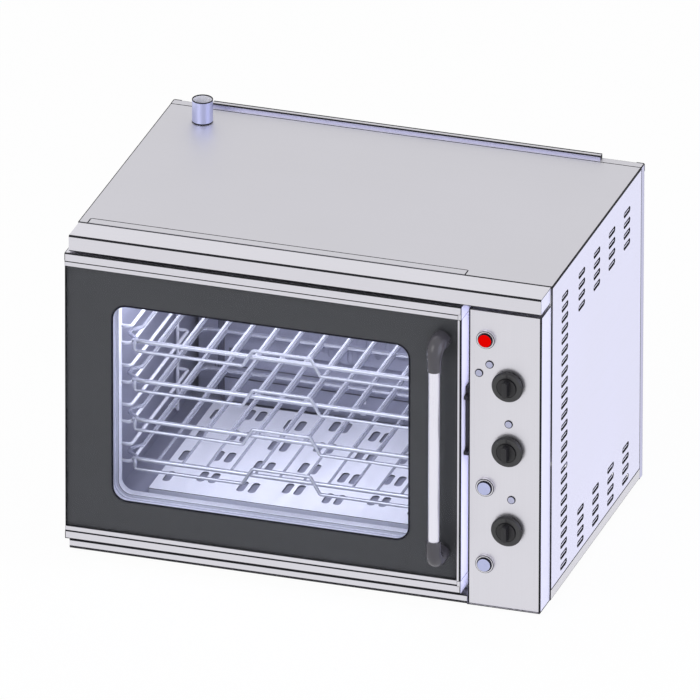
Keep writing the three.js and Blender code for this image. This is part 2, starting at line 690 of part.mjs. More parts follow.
function rackLadder(mirrored) {
  const inward = mirrored ? -1 : 1;
  const wall = mirrored ? cavityRight : cavity.left;
  const rodX0 = wall + inward * ladder.rodInset;
  const runnerX = wall + inward * ladder.runner;
  const studX = wall + inward * gap;
  const ladderBack = cavityBack - ladder.backInset;
  const bottom = cavity.bottom + ladder.bottomInset;
  const top = cavityTop - ladder.topInset;
  const parts = [];
  for (const y of [ladder.front, ladderBack]) {
    parts.push(rodZ(rodX0, y, ladder.radius, bottom, top, wireSides));
    for (const z of [bottom + ladder.studInset, top - ladder.studInset]) {
      parts.push(rodX(y, z, ladder.radius, Math.min(studX, rodX0), Math.max(studX, rodX0), wireSides));
    }
  }
  for (const plane of rackHeights) {
    const support = plane - rack.frameRadius - gap - ladder.radius;
    for (const z of [support, support + ladder.guardRise]) {
      const runner = [
        [rodX0, ladder.front, z],
        [runnerX, ladder.front, z],
        [runnerX, ladderBack, z],
        [rodX0, ladderBack, z],
      ];
      parts.push(bentWire(runner, ladder.radius));
    }
  }
  return join(...parts);
}

// One rack: two thick bars, the cross wires, and a frame wire that dips at the front and rises in a hump
function wireRack(plane) {
  const left = cavity.left + rack.side;
  const right = cavityRight - rack.side;
  const low = plane - rack.drop;
  const dipY = rack.front - rack.dipForward;
  const loopBack = rackLoop.start + 2 * rackLoop.slope + rackLoop.straight;
  const hump = cavityMiddle + rack.humpShift;
  const sidePoints = (edge, inward) => {
    const loopOut = edge - inward * rackLoop.out;
    const dipX = edge + inward * rack.dipInset;
    return [
      [edge + inward * rack.corner, rackBack, plane],
      [edge + inward * rack.corner / 3, rackBack - rack.corner / 3, plane],
      [edge, rackBack - rack.corner, plane],
      [edge, loopBack, plane],
      [loopOut, loopBack - rackLoop.slope, plane],
      [loopOut, rackLoop.start + rackLoop.slope, plane],
      [dipX, rackLoop.start, plane],
      [dipX, dipY + rack.dipBend, plane],
      [dipX, dipY, plane - rack.dipBend],
      [dipX, dipY, low + 2 * rack.dipBend],
      [dipX + inward * 2 * rack.dipBend, dipY, low],
      [hump - inward * rack.humpHalfBase, dipY, low],
      [hump - inward * rack.humpHalfTop, dipY, plane + rack.humpRise],
    ];
  };
  const around = [...sidePoints(left, 1), ...sidePoints(right, -1).reverse()];
  const parts = [bentWire(around, rack.frameRadius)];
  const backInset = rack.corner / 2;
  const crossPitch = (right - left) * rack.crossShare;
  parts.push(rodX(rack.front, plane, rack.barRadius, left, right, wireSides));
  parts.push(rodX(rackBack, plane, rack.barRadius, left + backInset, right - backInset, wireSides));
  for (let k = 0; k < crossWires; k += 1) {
    const x = cavityMiddle + (k - (crossWires - 1) / 2) * crossPitch;
    parts.push(rodY(x, plane, rack.wireRadius, rack.front, rackBack, thinSides));
  }
  return join(...parts);
}

function doorGasket() {
  const [x0, z0, x1, z1] = mouthBox;
  const inner = [x0 - gasket.spread, z0 - gasket.spread, x1 + gasket.spread, z1 + gasket.spread];
  const spread = gasket.spread + gasket.width;
  const outer = [x0 - spread, z0 - spread, x1 + spread, z1 + spread];
  const corner = mouth.corner + gasket.spread;
  const front = doorBack + gap;
  const back = frameFront - gap;
  const ring = plateXZ(roundRect(outer, corner + gasket.width), front, back);
  return cut(ring, plateXZ(roundRect(inner, corner), front - overrun, back + overrun));
}

add("cavity_liner", cavityLiner(), liningSteel);
add("cavity_insulation", cavityInsulation(), wool);
add("fan_baffle", fanBaffle(), liningSteel);
add("ring_heater", ringHeater(), heaterMetal);
add("floor_plate", floorPlateSolid(), brightSteel);
add("left_rack_ladder", rackLadder(false), wire);
add("right_rack_ladder", rackLadder(true), wire);
rackHeights.forEach((plane, k) => add(`rack_${k + 1}`, wireRack(plane), wire));
add("door_gasket", doorGasket(), rubber);

// Fan, motor, lamp, pipe and cable gland
function fanWheel() {
  const back = cavityBack - fan.clear;
  const front = back - fan.depth;
  const tail = woolBack + gap + motor.plate + motor.length / 2;
  const parts = [
    rodY(cavityMiddle, cavityCentre, fan.radius, back - fan.thickness, back, roundSides),
    rodY(cavityMiddle, cavityCentre, fan.hub, front, back, smallSides),
    rodY(cavityMiddle, cavityCentre, fan.shaft, front, tail, smallSides),
  ];
  for (let k = 0; k < fanBlades; k += 1) {
    const blade = new THREE.BoxGeometry(fan.radius - fan.bladeInner, back - front, fan.blade);
    blade.translate((fan.radius + fan.bladeInner) / 2 - fan.bladeTilt / 2, (front + back) / 2, fan.bladeTilt);
    blade.rotateY((2 * Math.PI * k) / fanBlades);
    parts.push(solidOf(blade.translate(cavityMiddle, 0, cavityCentre)));
  }
  return join(...parts);
}

function fanMotor() {
  const front = woolBack + gap;
  const half = motor.plateSide / 2;
  const plate = block(
    [cavityMiddle - half, front, cavityCentre - half],
    [cavityMiddle + half, front + motor.plate, cavityCentre + half],
  );
  const canEnd = front + motor.plate + motor.length;
  const can = rodY(cavityMiddle, cavityCentre, motor.radius, front, canEnd, roundSides);
  const boreEnd = front + motor.plate + motor.length / 2 + overrun;
  const bore = rodY(cavityMiddle, cavityCentre, fan.shaft + gap, front - overrun, boreEnd, smallSides);
  return cut(join(plate, can), bore);
}

function exhaustPipe() {
  const seat = body.height + gap;
  const bottom = cavityTop;
  const top = body.height + pipe.height;
  return turnedZ(pipeX, pipeY, [
    [pipe.neck - pipe.wall, bottom],
    [pipe.neck, bottom],
    [pipe.neck, seat],
    [pipe.radius, seat],
    [pipe.radius, top],
    [pipe.radius - pipe.wall, top],
    [pipe.radius - pipe.wall, seat + pipe.wall],
    [pipe.neck - pipe.wall, seat + pipe.wall],
    [pipe.neck - pipe.wall, bottom],
  ]);
}

function lampHousing() {
  const front = cavityRight + gap;
  const back = cavityRight + lamp.depth;
  const can = rodX(lamp.back, lampZ, lamp.radius, front, back, roundSides);
  const hollow = rodX(lamp.back, lampZ, lamp.radius - sheet, front - overrun, back - sheet, roundSides);
  return cut(can, hollow);
}

function lampLensSolid() {
  const back = cavityRight - gap;
  return rodX(lamp.back, lampZ, lamp.lens, back - lamp.lensHeight, back, roundSides);
}

function cableGland() {
  const x = body.width - gland.rightInset;
  const back = body.depth + gap;
  const tail = body.depth - sheet - gland.nutHeight;
  const nutProfile = tubeProfile(gland.bore, gland.nut, back, back + gland.nutHeight);
  const barrelProfile = tubeProfile(gland.bore, gland.radius, tail, body.depth + gland.length);
  const nut = turnedY(x, gland.height, nutProfile, wireSides);
  const barrel = turnedY(x, gland.height, barrelProfile, smallSides);
  return join(nut, barrel);
}

add("fan_wheel", fanWheel(), steel);
add("fan_motor", fanMotor(), liningSteel);
add("exhaust_pipe", exhaustPipe(), brightSteel);
add("lamp_housing", lampHousing(), steel);
add("lamp_lens", lampLensSolid(), clearGlass);
add("cable_gland", cableGland(), blackPlastic);

// Door
const windowBox = [
  doorLeft + border.windowLeft,
  doorBottom + border.windowBottom,
  doorRight - border.windowRight,
  doorTop - border.windowTop,
];
const paneBox = [
  doorLeft + gap,
  doorBottom + sheet + gap,
  doorRight - stileFace - gap,
  doorTop - sheet - gap,
];

function pane(front, thickness) {
  const [x0, z0, x1, z1] = paneBox;
  return block([x0 + sheet, front, z0], [x1, front + thickness, z1]);
}

function doorBorder() {
  const front = glassBack + gap;
  const behind = front + border.thickness + overrun;
  const opening = plateXZ(roundRect(windowBox, border.corner), front - overrun, behind);
  return cut(pane(front, border.thickness), opening);
}

function doorFrame() {
  const bottom = doorBottom + rail.bottomFace + rail.bottomLip + gap;
  const top = doorTop - rail.topFace - rail.topLip - gap;
  const innerBottom = doorBottom + sheet + gap;
  const innerTop = doorTop - sheet - gap;
  const backPlate = block(
    [doorLeft + sheet + gap, doorBack - sheet, innerBottom],
    [doorRight - sheet - gap, doorBack, innerTop],
  );
  const stile = block([doorRight - stileFace, doorFront, bottom], [doorRight, doorBack, top]);
  const stileHollow = block(
    [doorRight - stileFace - overrun, doorFront + sheet, bottom - overrun],
    [doorRight - sheet, doorBack - sheet, top + overrun],
  );
  const leftWall = block([doorLeft, doorFront + glass.setBack, bottom], [doorLeft + sheet, doorBack, top]);
  const leftTie = block([doorLeft, doorBack - sheet, bottom], [doorLeft + 2 * sheet + gap, doorBack, top]);
  const [x0, z0, x1, z1] = mouthBox;
  const margin = doorWindow.margin;
  const window = roundRect([x0 - margin, z0 - margin, x1 + margin, z1 + margin], doorWindow.corner);
  const opening = plateXZ(window, doorBack - sheet - overrun, doorBack + overrun);
  return cut(join(backPlate, cut(stile, stileHollow), leftWall, leftTie), opening);
}

// A rail wraps the door's top or bottom edge: face, edge, back and both ends, with a lip on the glass
function doorRail(edge, face, lip, inward) {
  const span = (from, to) => [Math.min(from, to), Math.max(from, to)];
  const faceEnd = edge + inward * face;
  const lipEnd = faceEnd + inward * lip;
  const [z0, z1] = span(edge, faceEnd);
  const outer = block([doorLeft, doorFront, z0], [doorRight, doorBack, z1]);
  const [h0, h1] = span(edge + inward * sheet, faceEnd + inward * overrun);
  const hollow = block(
    [doorLeft + sheet, doorFront + sheet, h0],
    [doorRight - sheet, doorBack + overrun, h1],
  );
  const [l0, l1] = span(faceEnd - inward * sheet, lipEnd);
  const lipFront = doorFront + rail.lipStep;
  const lipStrip = block([doorLeft, lipFront, l0], [doorRight - stileFace - gap, lipFront + sheet, l1]);
  const endFlap = block([doorRight - stileFace, doorFront, l0], [doorRight, doorFront + sheet, l1]);
  const endWall = block([doorRight - sheet, doorFront, l0], [doorRight, doorBack, l1]);
  const leftWall = block([doorLeft, lipFront, l0], [doorLeft + sheet, doorBack, l1]);
  const pinSpan = span(edge - inward * overrun, edge + inward * (sheet + overrun));
  const pinHole = rodZ(hinge.x, -hinge.back, hinge.pinRadius + hinge.pinClearance, ...pinSpan, smallSides);
  return cut(join(cut(outer, hollow), lipStrip, endFlap, endWall, leftWall), pinHole);
}

function innerPane() {
  const [x0, z0, x1, z1] = mouthBox;
  const back = doorBack - sheet - innerGlass.clearance;
  return block(
    [x0 - innerGlass.lap, back - glass.thickness, z0 - innerGlass.lap],
    [x1 + innerGlass.lap, back, z1 + innerGlass.lap],
  );
}

// A hinge bracket: a leg on the front frame, a plate over or under the door, and the pin
function hingeBracket(edge, outward) {
  const near = edge + outward * hinge.clear;
  const far = near + outward * hinge.plate;
  const legEnd = near + outward * hinge.leg;
  const left = visor.inset + sheet + gap;
  const right = left + hinge.plateWidth;
  const reach = -hinge.back - hinge.pinRadius - hinge.plate / 2;
  const plate = block([left, reach, Math.min(near, far)], [right, 0, Math.max(near, far)]);
  const leg = block([left, -hinge.plate, Math.min(near, legEnd)], [right, 0, Math.max(near, legEnd)]);
  const tip = edge - outward * hinge.engage;
  const pinSpan = [Math.min(far, tip), Math.max(far, tip)];
  const pin = rodZ(hinge.x, -hinge.back, hinge.pinRadius, ...pinSpan, smallSides);
  return join(plate, leg, pin);
}

const tubeBottom = doorBottom + handle.tubeBottomInset;
const tubeTop = doorTop - handle.tubeTopInset;

function handleTube() {
  return rodZ(handleX, handleY, handle.tubeRadius, tubeBottom, tubeTop, smallSides);
}

// A handle elbow: from its round base on the glass out and round to the end of the tube
function handleElbow(baseZ, tubeEnd) {
  const start = glassFront - gap;
  const inward = Math.sign(tubeEnd - baseZ);
  const end = tubeEnd - inward * gap;
  const points = [];
  const radii = [];
  points.push([handleX, start, baseZ]);
  radii.push(handle.baseRadius);
  for (let k = 0; k <= elbowSteps; k += 1) {
    const share = k / elbowSteps;
    const angle = share * (Math.PI / 2);
    points.push([
      handleX,
      handleY + handle.bend * (1 - Math.sin(angle)),
      baseZ + inward * handle.bend * (1 - Math.cos(angle)),
    ]);
    radii.push(handle.baseRadius + (handle.elbowRadius - handle.baseRadius) * share);
  }
  points.push([handleX, handleY, end]);
  radii.push(handle.elbowRadius);
  return bentWire(points, radii, smallSides);
}

const catchBottom = doorBottom + (doorTop - doorBottom) * doorCatch.bottomShare;

function doorCatchSolid() {
  const left = doorRight + gap;
  const right = left + doorCatch.thickness;
  const top = catchBottom + doorCatch.height;
  const back = doorBack - sheet;
  const front = back - doorCatch.depth;
  const parts = [block([left, front, catchBottom], [right, back, top])];
  for (const z of [catchBottom + doorCatch.lugInset, top - doorCatch.lugInset - doorCatch.nose]) {
    parts.push(block([left, front - doorCatch.lug, z], [right, front + sheet, z + doorCatch.lugHeight]));
  }
  return join(...parts);
}

function catchKeeper() {
  const middle = catchBottom + doorCatch.height / 2;
  const left = doorRight - keeper.thickness / 2;
  return block(
    [left, -keeper.depth, middle - keeper.height / 2],
    [left + keeper.thickness, 0, middle + keeper.height / 2],
  );
}

add("door_outer_glass", pane(glassFront, glass.thickness), clearGlass);
add("door_frit_border", doorBorder(), printedBlack);
add("door_inner_glass", innerPane(), clearGlass);
add("door_frame", doorFrame(), steel);
add("door_top_rail", doorRail(doorTop, rail.topFace, rail.topLip, -1), steel);
add("door_bottom_rail", doorRail(doorBottom, rail.bottomFace, rail.bottomLip, 1), steel);
add("handle_tube", handleTube(), brightSteel);
add("handle_upper_elbow", handleElbow(doorTop - handle.upperBaseInset, tubeTop), darkPlastic);
add("handle_lower_elbow", handleElbow(doorBottom + handle.lowerBaseInset, tubeBottom), darkPlastic);
add("door_catch", doorCatchSolid(), blackPlastic);
add("catch_keeper", catchKeeper(), blackPlastic);
add("upper_hinge_bracket", hingeBracket(doorTop, 1), steel);
add("lower_hinge_bracket", hingeBracket(doorBottom, -1), steel);

// Controls
function knobSolid(z) {
  const back = panelFace - knob.standOff;
  const face = back - knob.skirt;
  const ring = face - knob.bossHeight;
  const front = face - knob.gripHeight;
  const slim = knob.radius - knob.taper;
  const skirtProfile = [[0, face], [slim, face], [knob.radius, back - knob.rim], [slim, back], [0, back]];
  const skirt = turnedY(knobX, z, skirtProfile);
  const boss = rodY(knobX, z, knob.boss, ring, face + sheet, smallSides);
  const half = knob.grip / 2;
  const reach = Math.sqrt(knob.boss ** 2 - half ** 2);
  const grip = block([knobX - half, front, z - reach], [knobX + half, face + sheet, z + reach]);
  const stem = rodY(knobX, z, spindle.radius, face, back + spindle.length, smallSides);
  return join(skirt, boss, grip, stem);
}

function controlBody(z) {
  const front = panelFace + sheet + gap;
  const tail = front + control.depth;
  const box = block(
    [knobX - control.width / 2, front, z - control.height / 2],
    [knobX + control.width / 2, tail, z + control.height / 2],
  );
  const bush = rodY(knobX, z, control.bushRadius, panelFace, front + sheet, smallSides);
  const boreEnd = panelFace - knob.standOff + spindle.length + overrun;
  const bore = rodY(knobX, z, spindle.radius + gap, panelFace - overrun, boreEnd, smallSides);
  return cut(join(box, bush), bore);
}

function buttonBezel(z) {
  const seat = panelFace - gap;
  const plateFront = seat - bezel.wall;
  const tail = seat + bezel.length;
  return turnedY(buttonX, z, [
    [button.head + gap, seat - bezel.height],
    [bezel.radius, seat - bezel.height],
    [bezel.radius, seat],
    [bezel.barrel, seat],
    [bezel.barrel, tail],
    [button.plunger + gap, tail],
    [button.plunger + gap, plateFront],
    [button.head + gap, plateFront],
    [button.head + gap, seat - bezel.height],
  ]);
}

function buttonSolid(z) {
  const front = panelFace - button.proud;
  const head = rodY(buttonX, z, button.head, front, front + button.headHeight);
  const plunger = rodY(buttonX, z, button.plunger, front + button.headHeight / 2, front + button.length);
  return join(head, plunger);
}

function pilotLamp([x, z]) {
  const front = panelFace - gap;
  const lens = rodY(x, z, lampLens.radius, front - lampLens.proud, front, smallSides);
  const stem = rodY(x, z, lampLens.stem, front - lampLens.proud / 2, front + lampLens.length, smallSides);
  return join(lens, stem);
}

const knobNames = ["temperature", "timer", "function"];
knobHeights.forEach((z, k) => {
  add(`knob_${knobNames[k]}`, knobSolid(z), blackPlastic);
  add(["thermostat_body", "timer_body", "selector_body"][k], controlBody(z), liningSteel);
});
const buttonNames = ["power", "light", "steam"];
buttonHeights.forEach((z, k) => {
  add(`button_bezel_${buttonNames[k]}`, buttonBezel(z), liningSteel);
  add(`button_${buttonNames[k]}`, buttonSolid(z), k === 0 ? redPlastic : palePlastic);
});
lampPlaces.forEach((place, k) => add(`pilot_lamp_${k + 1}`, pilotLamp(place), lampPlastic));

// The origin is the middle of the oven's footprint, on the surface it stands on
const extent = new THREE.Box3().setFromObject(oven);
const middle = extent.getCenter(new THREE.Vector3());
oven.position.set(-middle.x, -middle.y, -extent.min.z);

export default oven;
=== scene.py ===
"""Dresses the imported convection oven: camera, light, floor, finishes and a detailed piece for each part."""
import json
import math
from collections import namedtuple
from types import SimpleNamespace

import bmesh
import bpy
from mathutils import Matrix, Vector, geometry


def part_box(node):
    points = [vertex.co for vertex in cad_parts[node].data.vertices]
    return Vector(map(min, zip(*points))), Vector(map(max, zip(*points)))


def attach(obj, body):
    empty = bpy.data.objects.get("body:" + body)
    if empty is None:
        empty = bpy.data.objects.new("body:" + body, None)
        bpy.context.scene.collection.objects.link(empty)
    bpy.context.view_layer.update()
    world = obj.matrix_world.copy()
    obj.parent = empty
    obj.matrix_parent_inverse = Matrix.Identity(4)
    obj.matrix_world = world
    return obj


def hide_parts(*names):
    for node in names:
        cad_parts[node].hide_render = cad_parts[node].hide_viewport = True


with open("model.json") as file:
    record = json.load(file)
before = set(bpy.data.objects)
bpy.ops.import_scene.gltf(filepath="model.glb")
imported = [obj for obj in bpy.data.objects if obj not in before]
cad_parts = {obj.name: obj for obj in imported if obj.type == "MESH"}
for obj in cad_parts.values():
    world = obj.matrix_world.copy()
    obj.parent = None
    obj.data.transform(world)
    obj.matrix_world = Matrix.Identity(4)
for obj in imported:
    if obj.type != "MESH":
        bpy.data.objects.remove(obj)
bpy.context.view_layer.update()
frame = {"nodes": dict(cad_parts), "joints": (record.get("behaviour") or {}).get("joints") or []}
scene = bpy.context.scene
scene.view_settings.view_transform = "Standard"

MM = 0.001
QUARTER = math.pi / 2
SHARP_ANGLE = math.radians(35)
STRAIGHT_ANGLE = math.radians(0.2)

# Counts
BEND_STEPS = 4
CORNER_STEPS = 8
SLOT_STEPS = 8
ROUND_STEPS = 64
PIN_STEPS = 32
WIRE_RING = 12
TUBE_RING = 48


def sizes(**values):
    """Named sizes, written in millimetres and kept in metres."""
    return SimpleNamespace(**{name: value * MM for name, value in values.items()})


def middle(low, high):
    return (low + high) / 2


class Box(namedtuple("Box", "x0 y0 z0 x1 y1 z1")):
    """A box from its lowest corner to its highest, with its middle and half its width."""

    x = property(lambda self: (self.x0 + self.x1) / 2)
    y = property(lambda self: (self.y0 + self.y1) / 2)
    z = property(lambda self: (self.z0 + self.z1) / 2)
    radius = property(lambda self: (self.x1 - self.x0) / 2)

    def outline(self, axis, inset=0, radius=0):
        """Its outline seen along an axis, moved inwards, with corners of a radius."""
        u, v = (letter for letter in "xyz" if letter != axis)
        low = [getattr(self, letter + "0") + inset for letter in (u, v)]
        high = [getattr(self, letter + "1") - inset for letter in (u, v)]
        return round_rect(*low, *high, radius) if radius else rectangle(*low, *high)


def box_of(node):
    low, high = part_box(node)
    return Box(*low, *high)


# Sheet sizes; band, line and outline also set the widths of the near-black painted shade lines laid on rims
# and faces.
SHEET = sizes(
    thickness=1.2, bend=1.9, tight=1.3, edge=0.5, band=1.6, line=1.2, outline=2, fine=0.01, gap=0.3,
)
HALF_SHEET = SHEET.thickness / 2

# Marks: the number of a face's material in its piece. In most pieces EDGE takes the near-black painted shade
# line of bends, rims and cut ends, and SIDE a finish with painted light and shade, such as the lit and shaded
# copies of the steel.
FACE = 0
EDGE = 1
SIDE = 2


# Outlines and sections

def fillet(points, radius, steps=BEND_STEPS, closed=False):
    """A polyline with rounded corners, and for each step along it whether it lies in a bend."""
    points = [Vector(p) for p in points]
    count = len(points)
    radii = radius if isinstance(radius, list) else [radius] * count
    made, bent = [], []
    for i, corner in enumerate(points):
        if not closed and i in (0, count - 1):
            made.append(corner)
            bent.append(False)
            continue
        before = points[i - 1] - corner
        after = points[(i + 1) % count] - corner
        half = before.angle(after) / 2
        if half > QUARTER - STRAIGHT_ANGLE or not radii[i]:
            made.append(corner)
            bent.append(False)
            continue
        reach = min(radii[i] / math.tan(half), before.length / 2, after.length / 2)
        depth = reach / math.cos(half)
        centre = corner + (before.normalized() + after.normalized()).normalized() * depth
        first = corner + before.normalized() * reach - centre
        last = corner + after.normalized() * reach - centre
        sweep = first.angle(last)
        for k in range(steps + 1):
            share = k / steps
            spoke = first * math.sin((1 - share) * sweep) + last * math.sin(share * sweep)
            made.append(centre + spoke / math.sin(sweep))
            bent.append(k < steps)
    return made, bent


def offset_line(points, distance, closed=False):
    """A flat polyline moved to its left by a distance, with mitred corners."""
    made = []
    count = len(points)
    for i, point in enumerate(points):
        before = point - points[i - 1] if closed or i > 0 else points[1] - point
        after = points[(i + 1) % count] - point if closed or i < count - 1 else before
        left = Vector((-before.y, before.x)).normalized() + Vector((-after.y, after.x)).normalized()
        made.append(point + left * (2 * distance / left.length_squared))
    return made


def sheet_section(points, radius=SHEET.bend, thickness=SHEET.thickness, steps=BEND_STEPS):
    """The closed section of a folded sheet about its middle line, and the mark of each side."""
    line, bent = fillet(points, radius, steps)
    outer = offset_line(line, thickness / 2)
    inner = offset_line(line, -thickness / 2)
    folds = [EDGE if fold else FACE for fold in bent[:-1]]
    return outer + inner[::-1], folds + [EDGE] + folds[::-1] + [EDGE]


def rectangle(u0, v0, u1, v1):
    return [Vector(p) for p in ((u0, v0), (u1, v0), (u1, v1), (u0, v1))]


def round_rect(u0, v0, u1, v1, radius, steps=CORNER_STEPS):
    return fillet(rectangle(u0, v0, u1, v1), radius, steps, closed=True)[0]


def circle(u, v, radius, steps=PIN_STEPS):
    turns = [2 * math.pi * k / steps for k in range(steps)]
    return [Vector((u + radius * math.cos(a), v + radius * math.sin(a))) for a in turns]


def oblong(u, v, length, width, along_second=False):
    """A slot's outline with half-round ends, its length along the first axis or the second."""
    reach = (length - width) / 2
    made = []
    for end in (1, -1):
        for k in range(SLOT_STEPS + 1):
            angle = math.pi * (k / SLOT_STEPS - 1 / 2)
            along = end * (reach + width / 2 * math.cos(angle))
            across = end * width / 2 * math.sin(angle)
            made.append(Vector((u - across, v + along) if along_second else (u + along, v + across)))
    return made


def signed_area(points):
    pairs = zip(points, points[1:] + points[:1])
    return sum(a.x * b.y - b.x * a.y for a, b in pairs) / 2


def turned(points, left):
    """The outline running anticlockwise, or clockwise where left is false."""
    return points if (signed_area(points) > 0) == left else points[::-1]


# Solids, gathered face by face

AXES = {
    "x": lambda u, v, t: (t, u, v),
    "y": lambda u, v, t: (u, t, v),
    "z": lambda u, v, t: (u, v, t),
}


class Soup:
    """The faces of one piece, each with its mark."""

    def __init__(self):
        self.points, self.faces, self.marks = [], [], []
        self.flats = set()

    def add(self, points, faces, marks):
        base = len(self.points)
        self.points += points
        self.faces += [[base + i for i in face] for face in faces]
        self.marks += marks

    def prism(self, section, axis, low, high, marks=FACE, cap=EDGE):
        """A closed section made solid along an axis."""
        place = AXES[axis]
        count = len(section)
        points = [place(u, v, t) for t in (low, high) for u, v in section]
        nexts = [(i + 1) % count for i in range(count)]
        sides = [[i, j, count + j, count + i] for i, j in enumerate(nexts)]
        side_marks = [marks] * count
        if isinstance(marks, list):
            side_marks = marks
            start = len(self.faces)
            self.flats.update(start + i for i, mark in enumerate(marks) if mark == FACE)
        caps = [list(range(count)), list(range(count, 2 * count))]
        self.add(points, sides + caps, side_marks + [cap, cap])

    def fold(self, points, axis, start, end, radius=SHEET.bend, thickness=SHEET.thickness):
        """A folded sheet along an axis."""
        section, marks = sheet_section(points, radius, thickness)
        self.prism(section, axis, start, end, marks)

    def plate(self, outline, holes, axis, low, high, rim=SHEET.edge, outer_rim=None, hole_rim=None,
              mark=FACE, side=EDGE):
        """A flat plate with holes; its rims are eased."""
        place = AXES[axis]
        outer_rim = rim if outer_rim is None else outer_rim
        hole_rim = rim if hole_rim is None else hole_rim
        loops = [turned(outline, True)] + [turned(hole, False) for hole in holes]
        insets = [offset_line(loop, hole_rim if i else outer_rim, True) for i, loop in enumerate(loops)]
        full = [p for loop in loops for p in loop]
        small = [p for loop in insets for p in loop]
        count = len(full)
        levels = ((low, small), (low + rim, full), (high - rim, full), (high, small))
        points = [place(p.x, p.y, t) for t, line in levels for p in line]
        corners = geometry.tessellate_polygon([[p.to_3d() for p in loop] for loop in insets])
        top = (len(levels) - 1) * count
        faces = [list(c) for c in corners] + [[top + i for i in c] for c in corners]
        marks = [mark] * len(faces)
        self.flats.update(range(len(self.faces), len(self.faces) + len(faces)))
        for start in range(0, top, count):
            for loop in loops:
                size = len(loop)
                for i in range(size):
                    a, b = start + i, start + (i + 1) % size
                    faces.append([a, b, b + count, a + count])
                    marks.append(side)
                start += size
        self.add(points, faces, marks)

    def mark_facing_light_and_shade(self, axis, start=0):
        """Gives the plain faces added since start that look along an axis a mark of their own, so that they
        take the piece's SIDE finish: painted light as a pale copy of the steel on side faces, and painted
        shade as a darker copy on top faces.
        """
        along = "xyz".index(axis)
        for i in range(start, len(self.faces)):
            a, b, c = (Vector(self.points[k]) for k in self.faces[i][:3])
            across = (b - a).cross(c - b)
            if self.marks[i] == FACE and abs(across[along]) > across.length / 2:
                self.marks[i] = SIDE

    def loft(self, rings, mark=FACE, cap=FACE):
        """Skins rings of equally many points, one after the other, and closes both ends."""
        count = len(rings[0])
        faces = []
        for start in range(0, (len(rings) - 1) * count, count):
            for i in range(count):
                a, b = start + i, start + (i + 1) % count
                faces.append([a, b, b + count, a + count])
        marks = [mark] * len(faces) + [cap, cap]
        last = (len(rings) - 1) * count
        faces += [list(range(count)), [last + i for i in range(count)]]
        self.add([p for ring in rings for p in ring], faces, marks)

    def tube(self, path, radii, ring=WIRE_RING, mark=FACE, cap=FACE, up=None):
        """A round bar along a path; radii is one radius or one for each point."""
        path = [Vector(p) for p in path]
        count = len(path)
        radii = radii if isinstance(radii, list) else [radii] * count
        turns = [2 * math.pi * k / ring for k in range(ring)]
        across = None
        rings = []
        for i, point in enumerate(path):
            before = (point - path[i - 1] if i else path[1] - point).normalized()
            after = (path[i + 1] - point if i < count - 1 else point - path[i - 1]).normalized()
            along = (before + after).normalized()
            if up:
                across = Vector(up)
            elif across is None:
                across = Vector((1, 0, 0)) if abs(along.z) > abs(along.x) else Vector((0, 0, 1))
            across = (across - along * across.dot(along)).normalized()
            second = along.cross(across)
            rings.append([point + (across * math.cos(a) + second * math.sin(a)) * radii[i] for a in turns])
        self.loft(rings, mark, cap)

    def lathe(self, profile, centre, axis, steps=ROUND_STEPS, marks=FACE, closed=False):
        """A profile of radius and height pairs turned about an axis."""
        u, v = centre
        place = AXES[axis]
        points, rows = [], []
        for radius, height in profile:
            if radius <= 0:
                rows.append([len(points)] * steps)
                points.append(place(u, v, height))
                continue
            rows.append(list(range(len(points), len(points) + steps)))
            for k in range(steps):
                angle = 2 * math.pi * k / steps
                spot = (u + radius * math.cos(angle), v + radius * math.sin(angle))
                points.append(place(*spot, height))
        pairs = list(zip(rows, rows[1:] + rows[:1] if closed else rows[1:]))
        side_marks = marks if isinstance(marks, list) else [marks] * len(pairs)
        faces, kept = [], []
        for (low, high), mark in zip(pairs, side_marks):
            for k in range(steps):
                j = (k + 1) % steps
                face = list(dict.fromkeys([low[k], low[j], high[j], high[k]]))
                if len(face) > 2:
                    faces.append(face)
                    kept.append(mark)
        self.add(points, faces, kept)


def shown(name, soup, body, finishes, slot, *nodes, sharp=SHARP_ANGLE):
    """Makes a piece of the gathered faces, which rides on a body and stands for CAD nodes."""
    mesh = bpy.data.meshes.new(name)
    mesh.from_pydata(soup.points, [], soup.faces)
    for finish in finishes:
        mesh.materials.append(finish)
    mesh.polygons.foreach_set("material_index", soup.marks)
    work = bmesh.new()
    work.from_mesh(mesh)
    bmesh.ops.recalc_face_normals(work, faces=work.faces)
    for face in work.faces:
        face.smooth = True
    for edge in work.edges:
        beside = {face.index in soup.flats for face in edge.link_faces}
        edge.smooth = len(beside) == 1 and edge.calc_face_angle(0) < sharp
    work.to_mesh(mesh)
    work.free()
    made = bpy.data.objects.new(name, mesh)
    scene.collection.objects.link(made)
    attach(made, body)
    if nodes:
        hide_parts(*nodes)
    return made


# Materials

WHITE = (1, 1, 1, 1)
NOISE = SimpleNamespace(low=0.6, high=1.4, broad_octaves=2)


def put(tree, kind, inputs=None, **settings):
    """Adds a node, with its settings and its inputs' values or links."""
    made = tree.nodes.new(kind)
    for key, value in settings.items():
        setattr(made, key, value)
    for socket, value in (inputs or {}).items():
        if isinstance(value, bpy.types.NodeSocket):
            tree.links.new(value, made.inputs[socket])
        else:
            made.inputs[socket].default_value = value
    return made


def base_material(name, metallic, roughness, **sockets):
    made = bpy.data.materials.new(name)
    made.use_nodes = True
    shader = made.node_tree.nodes["Principled BSDF"]
    shader.inputs["Metallic"].default_value = metallic
    shader.inputs["Roughness"].default_value = roughness
    for socket, value in sockets.items():
        shader.inputs[socket.replace("_", " ")].default_value = value
    return made, made.node_tree, shader


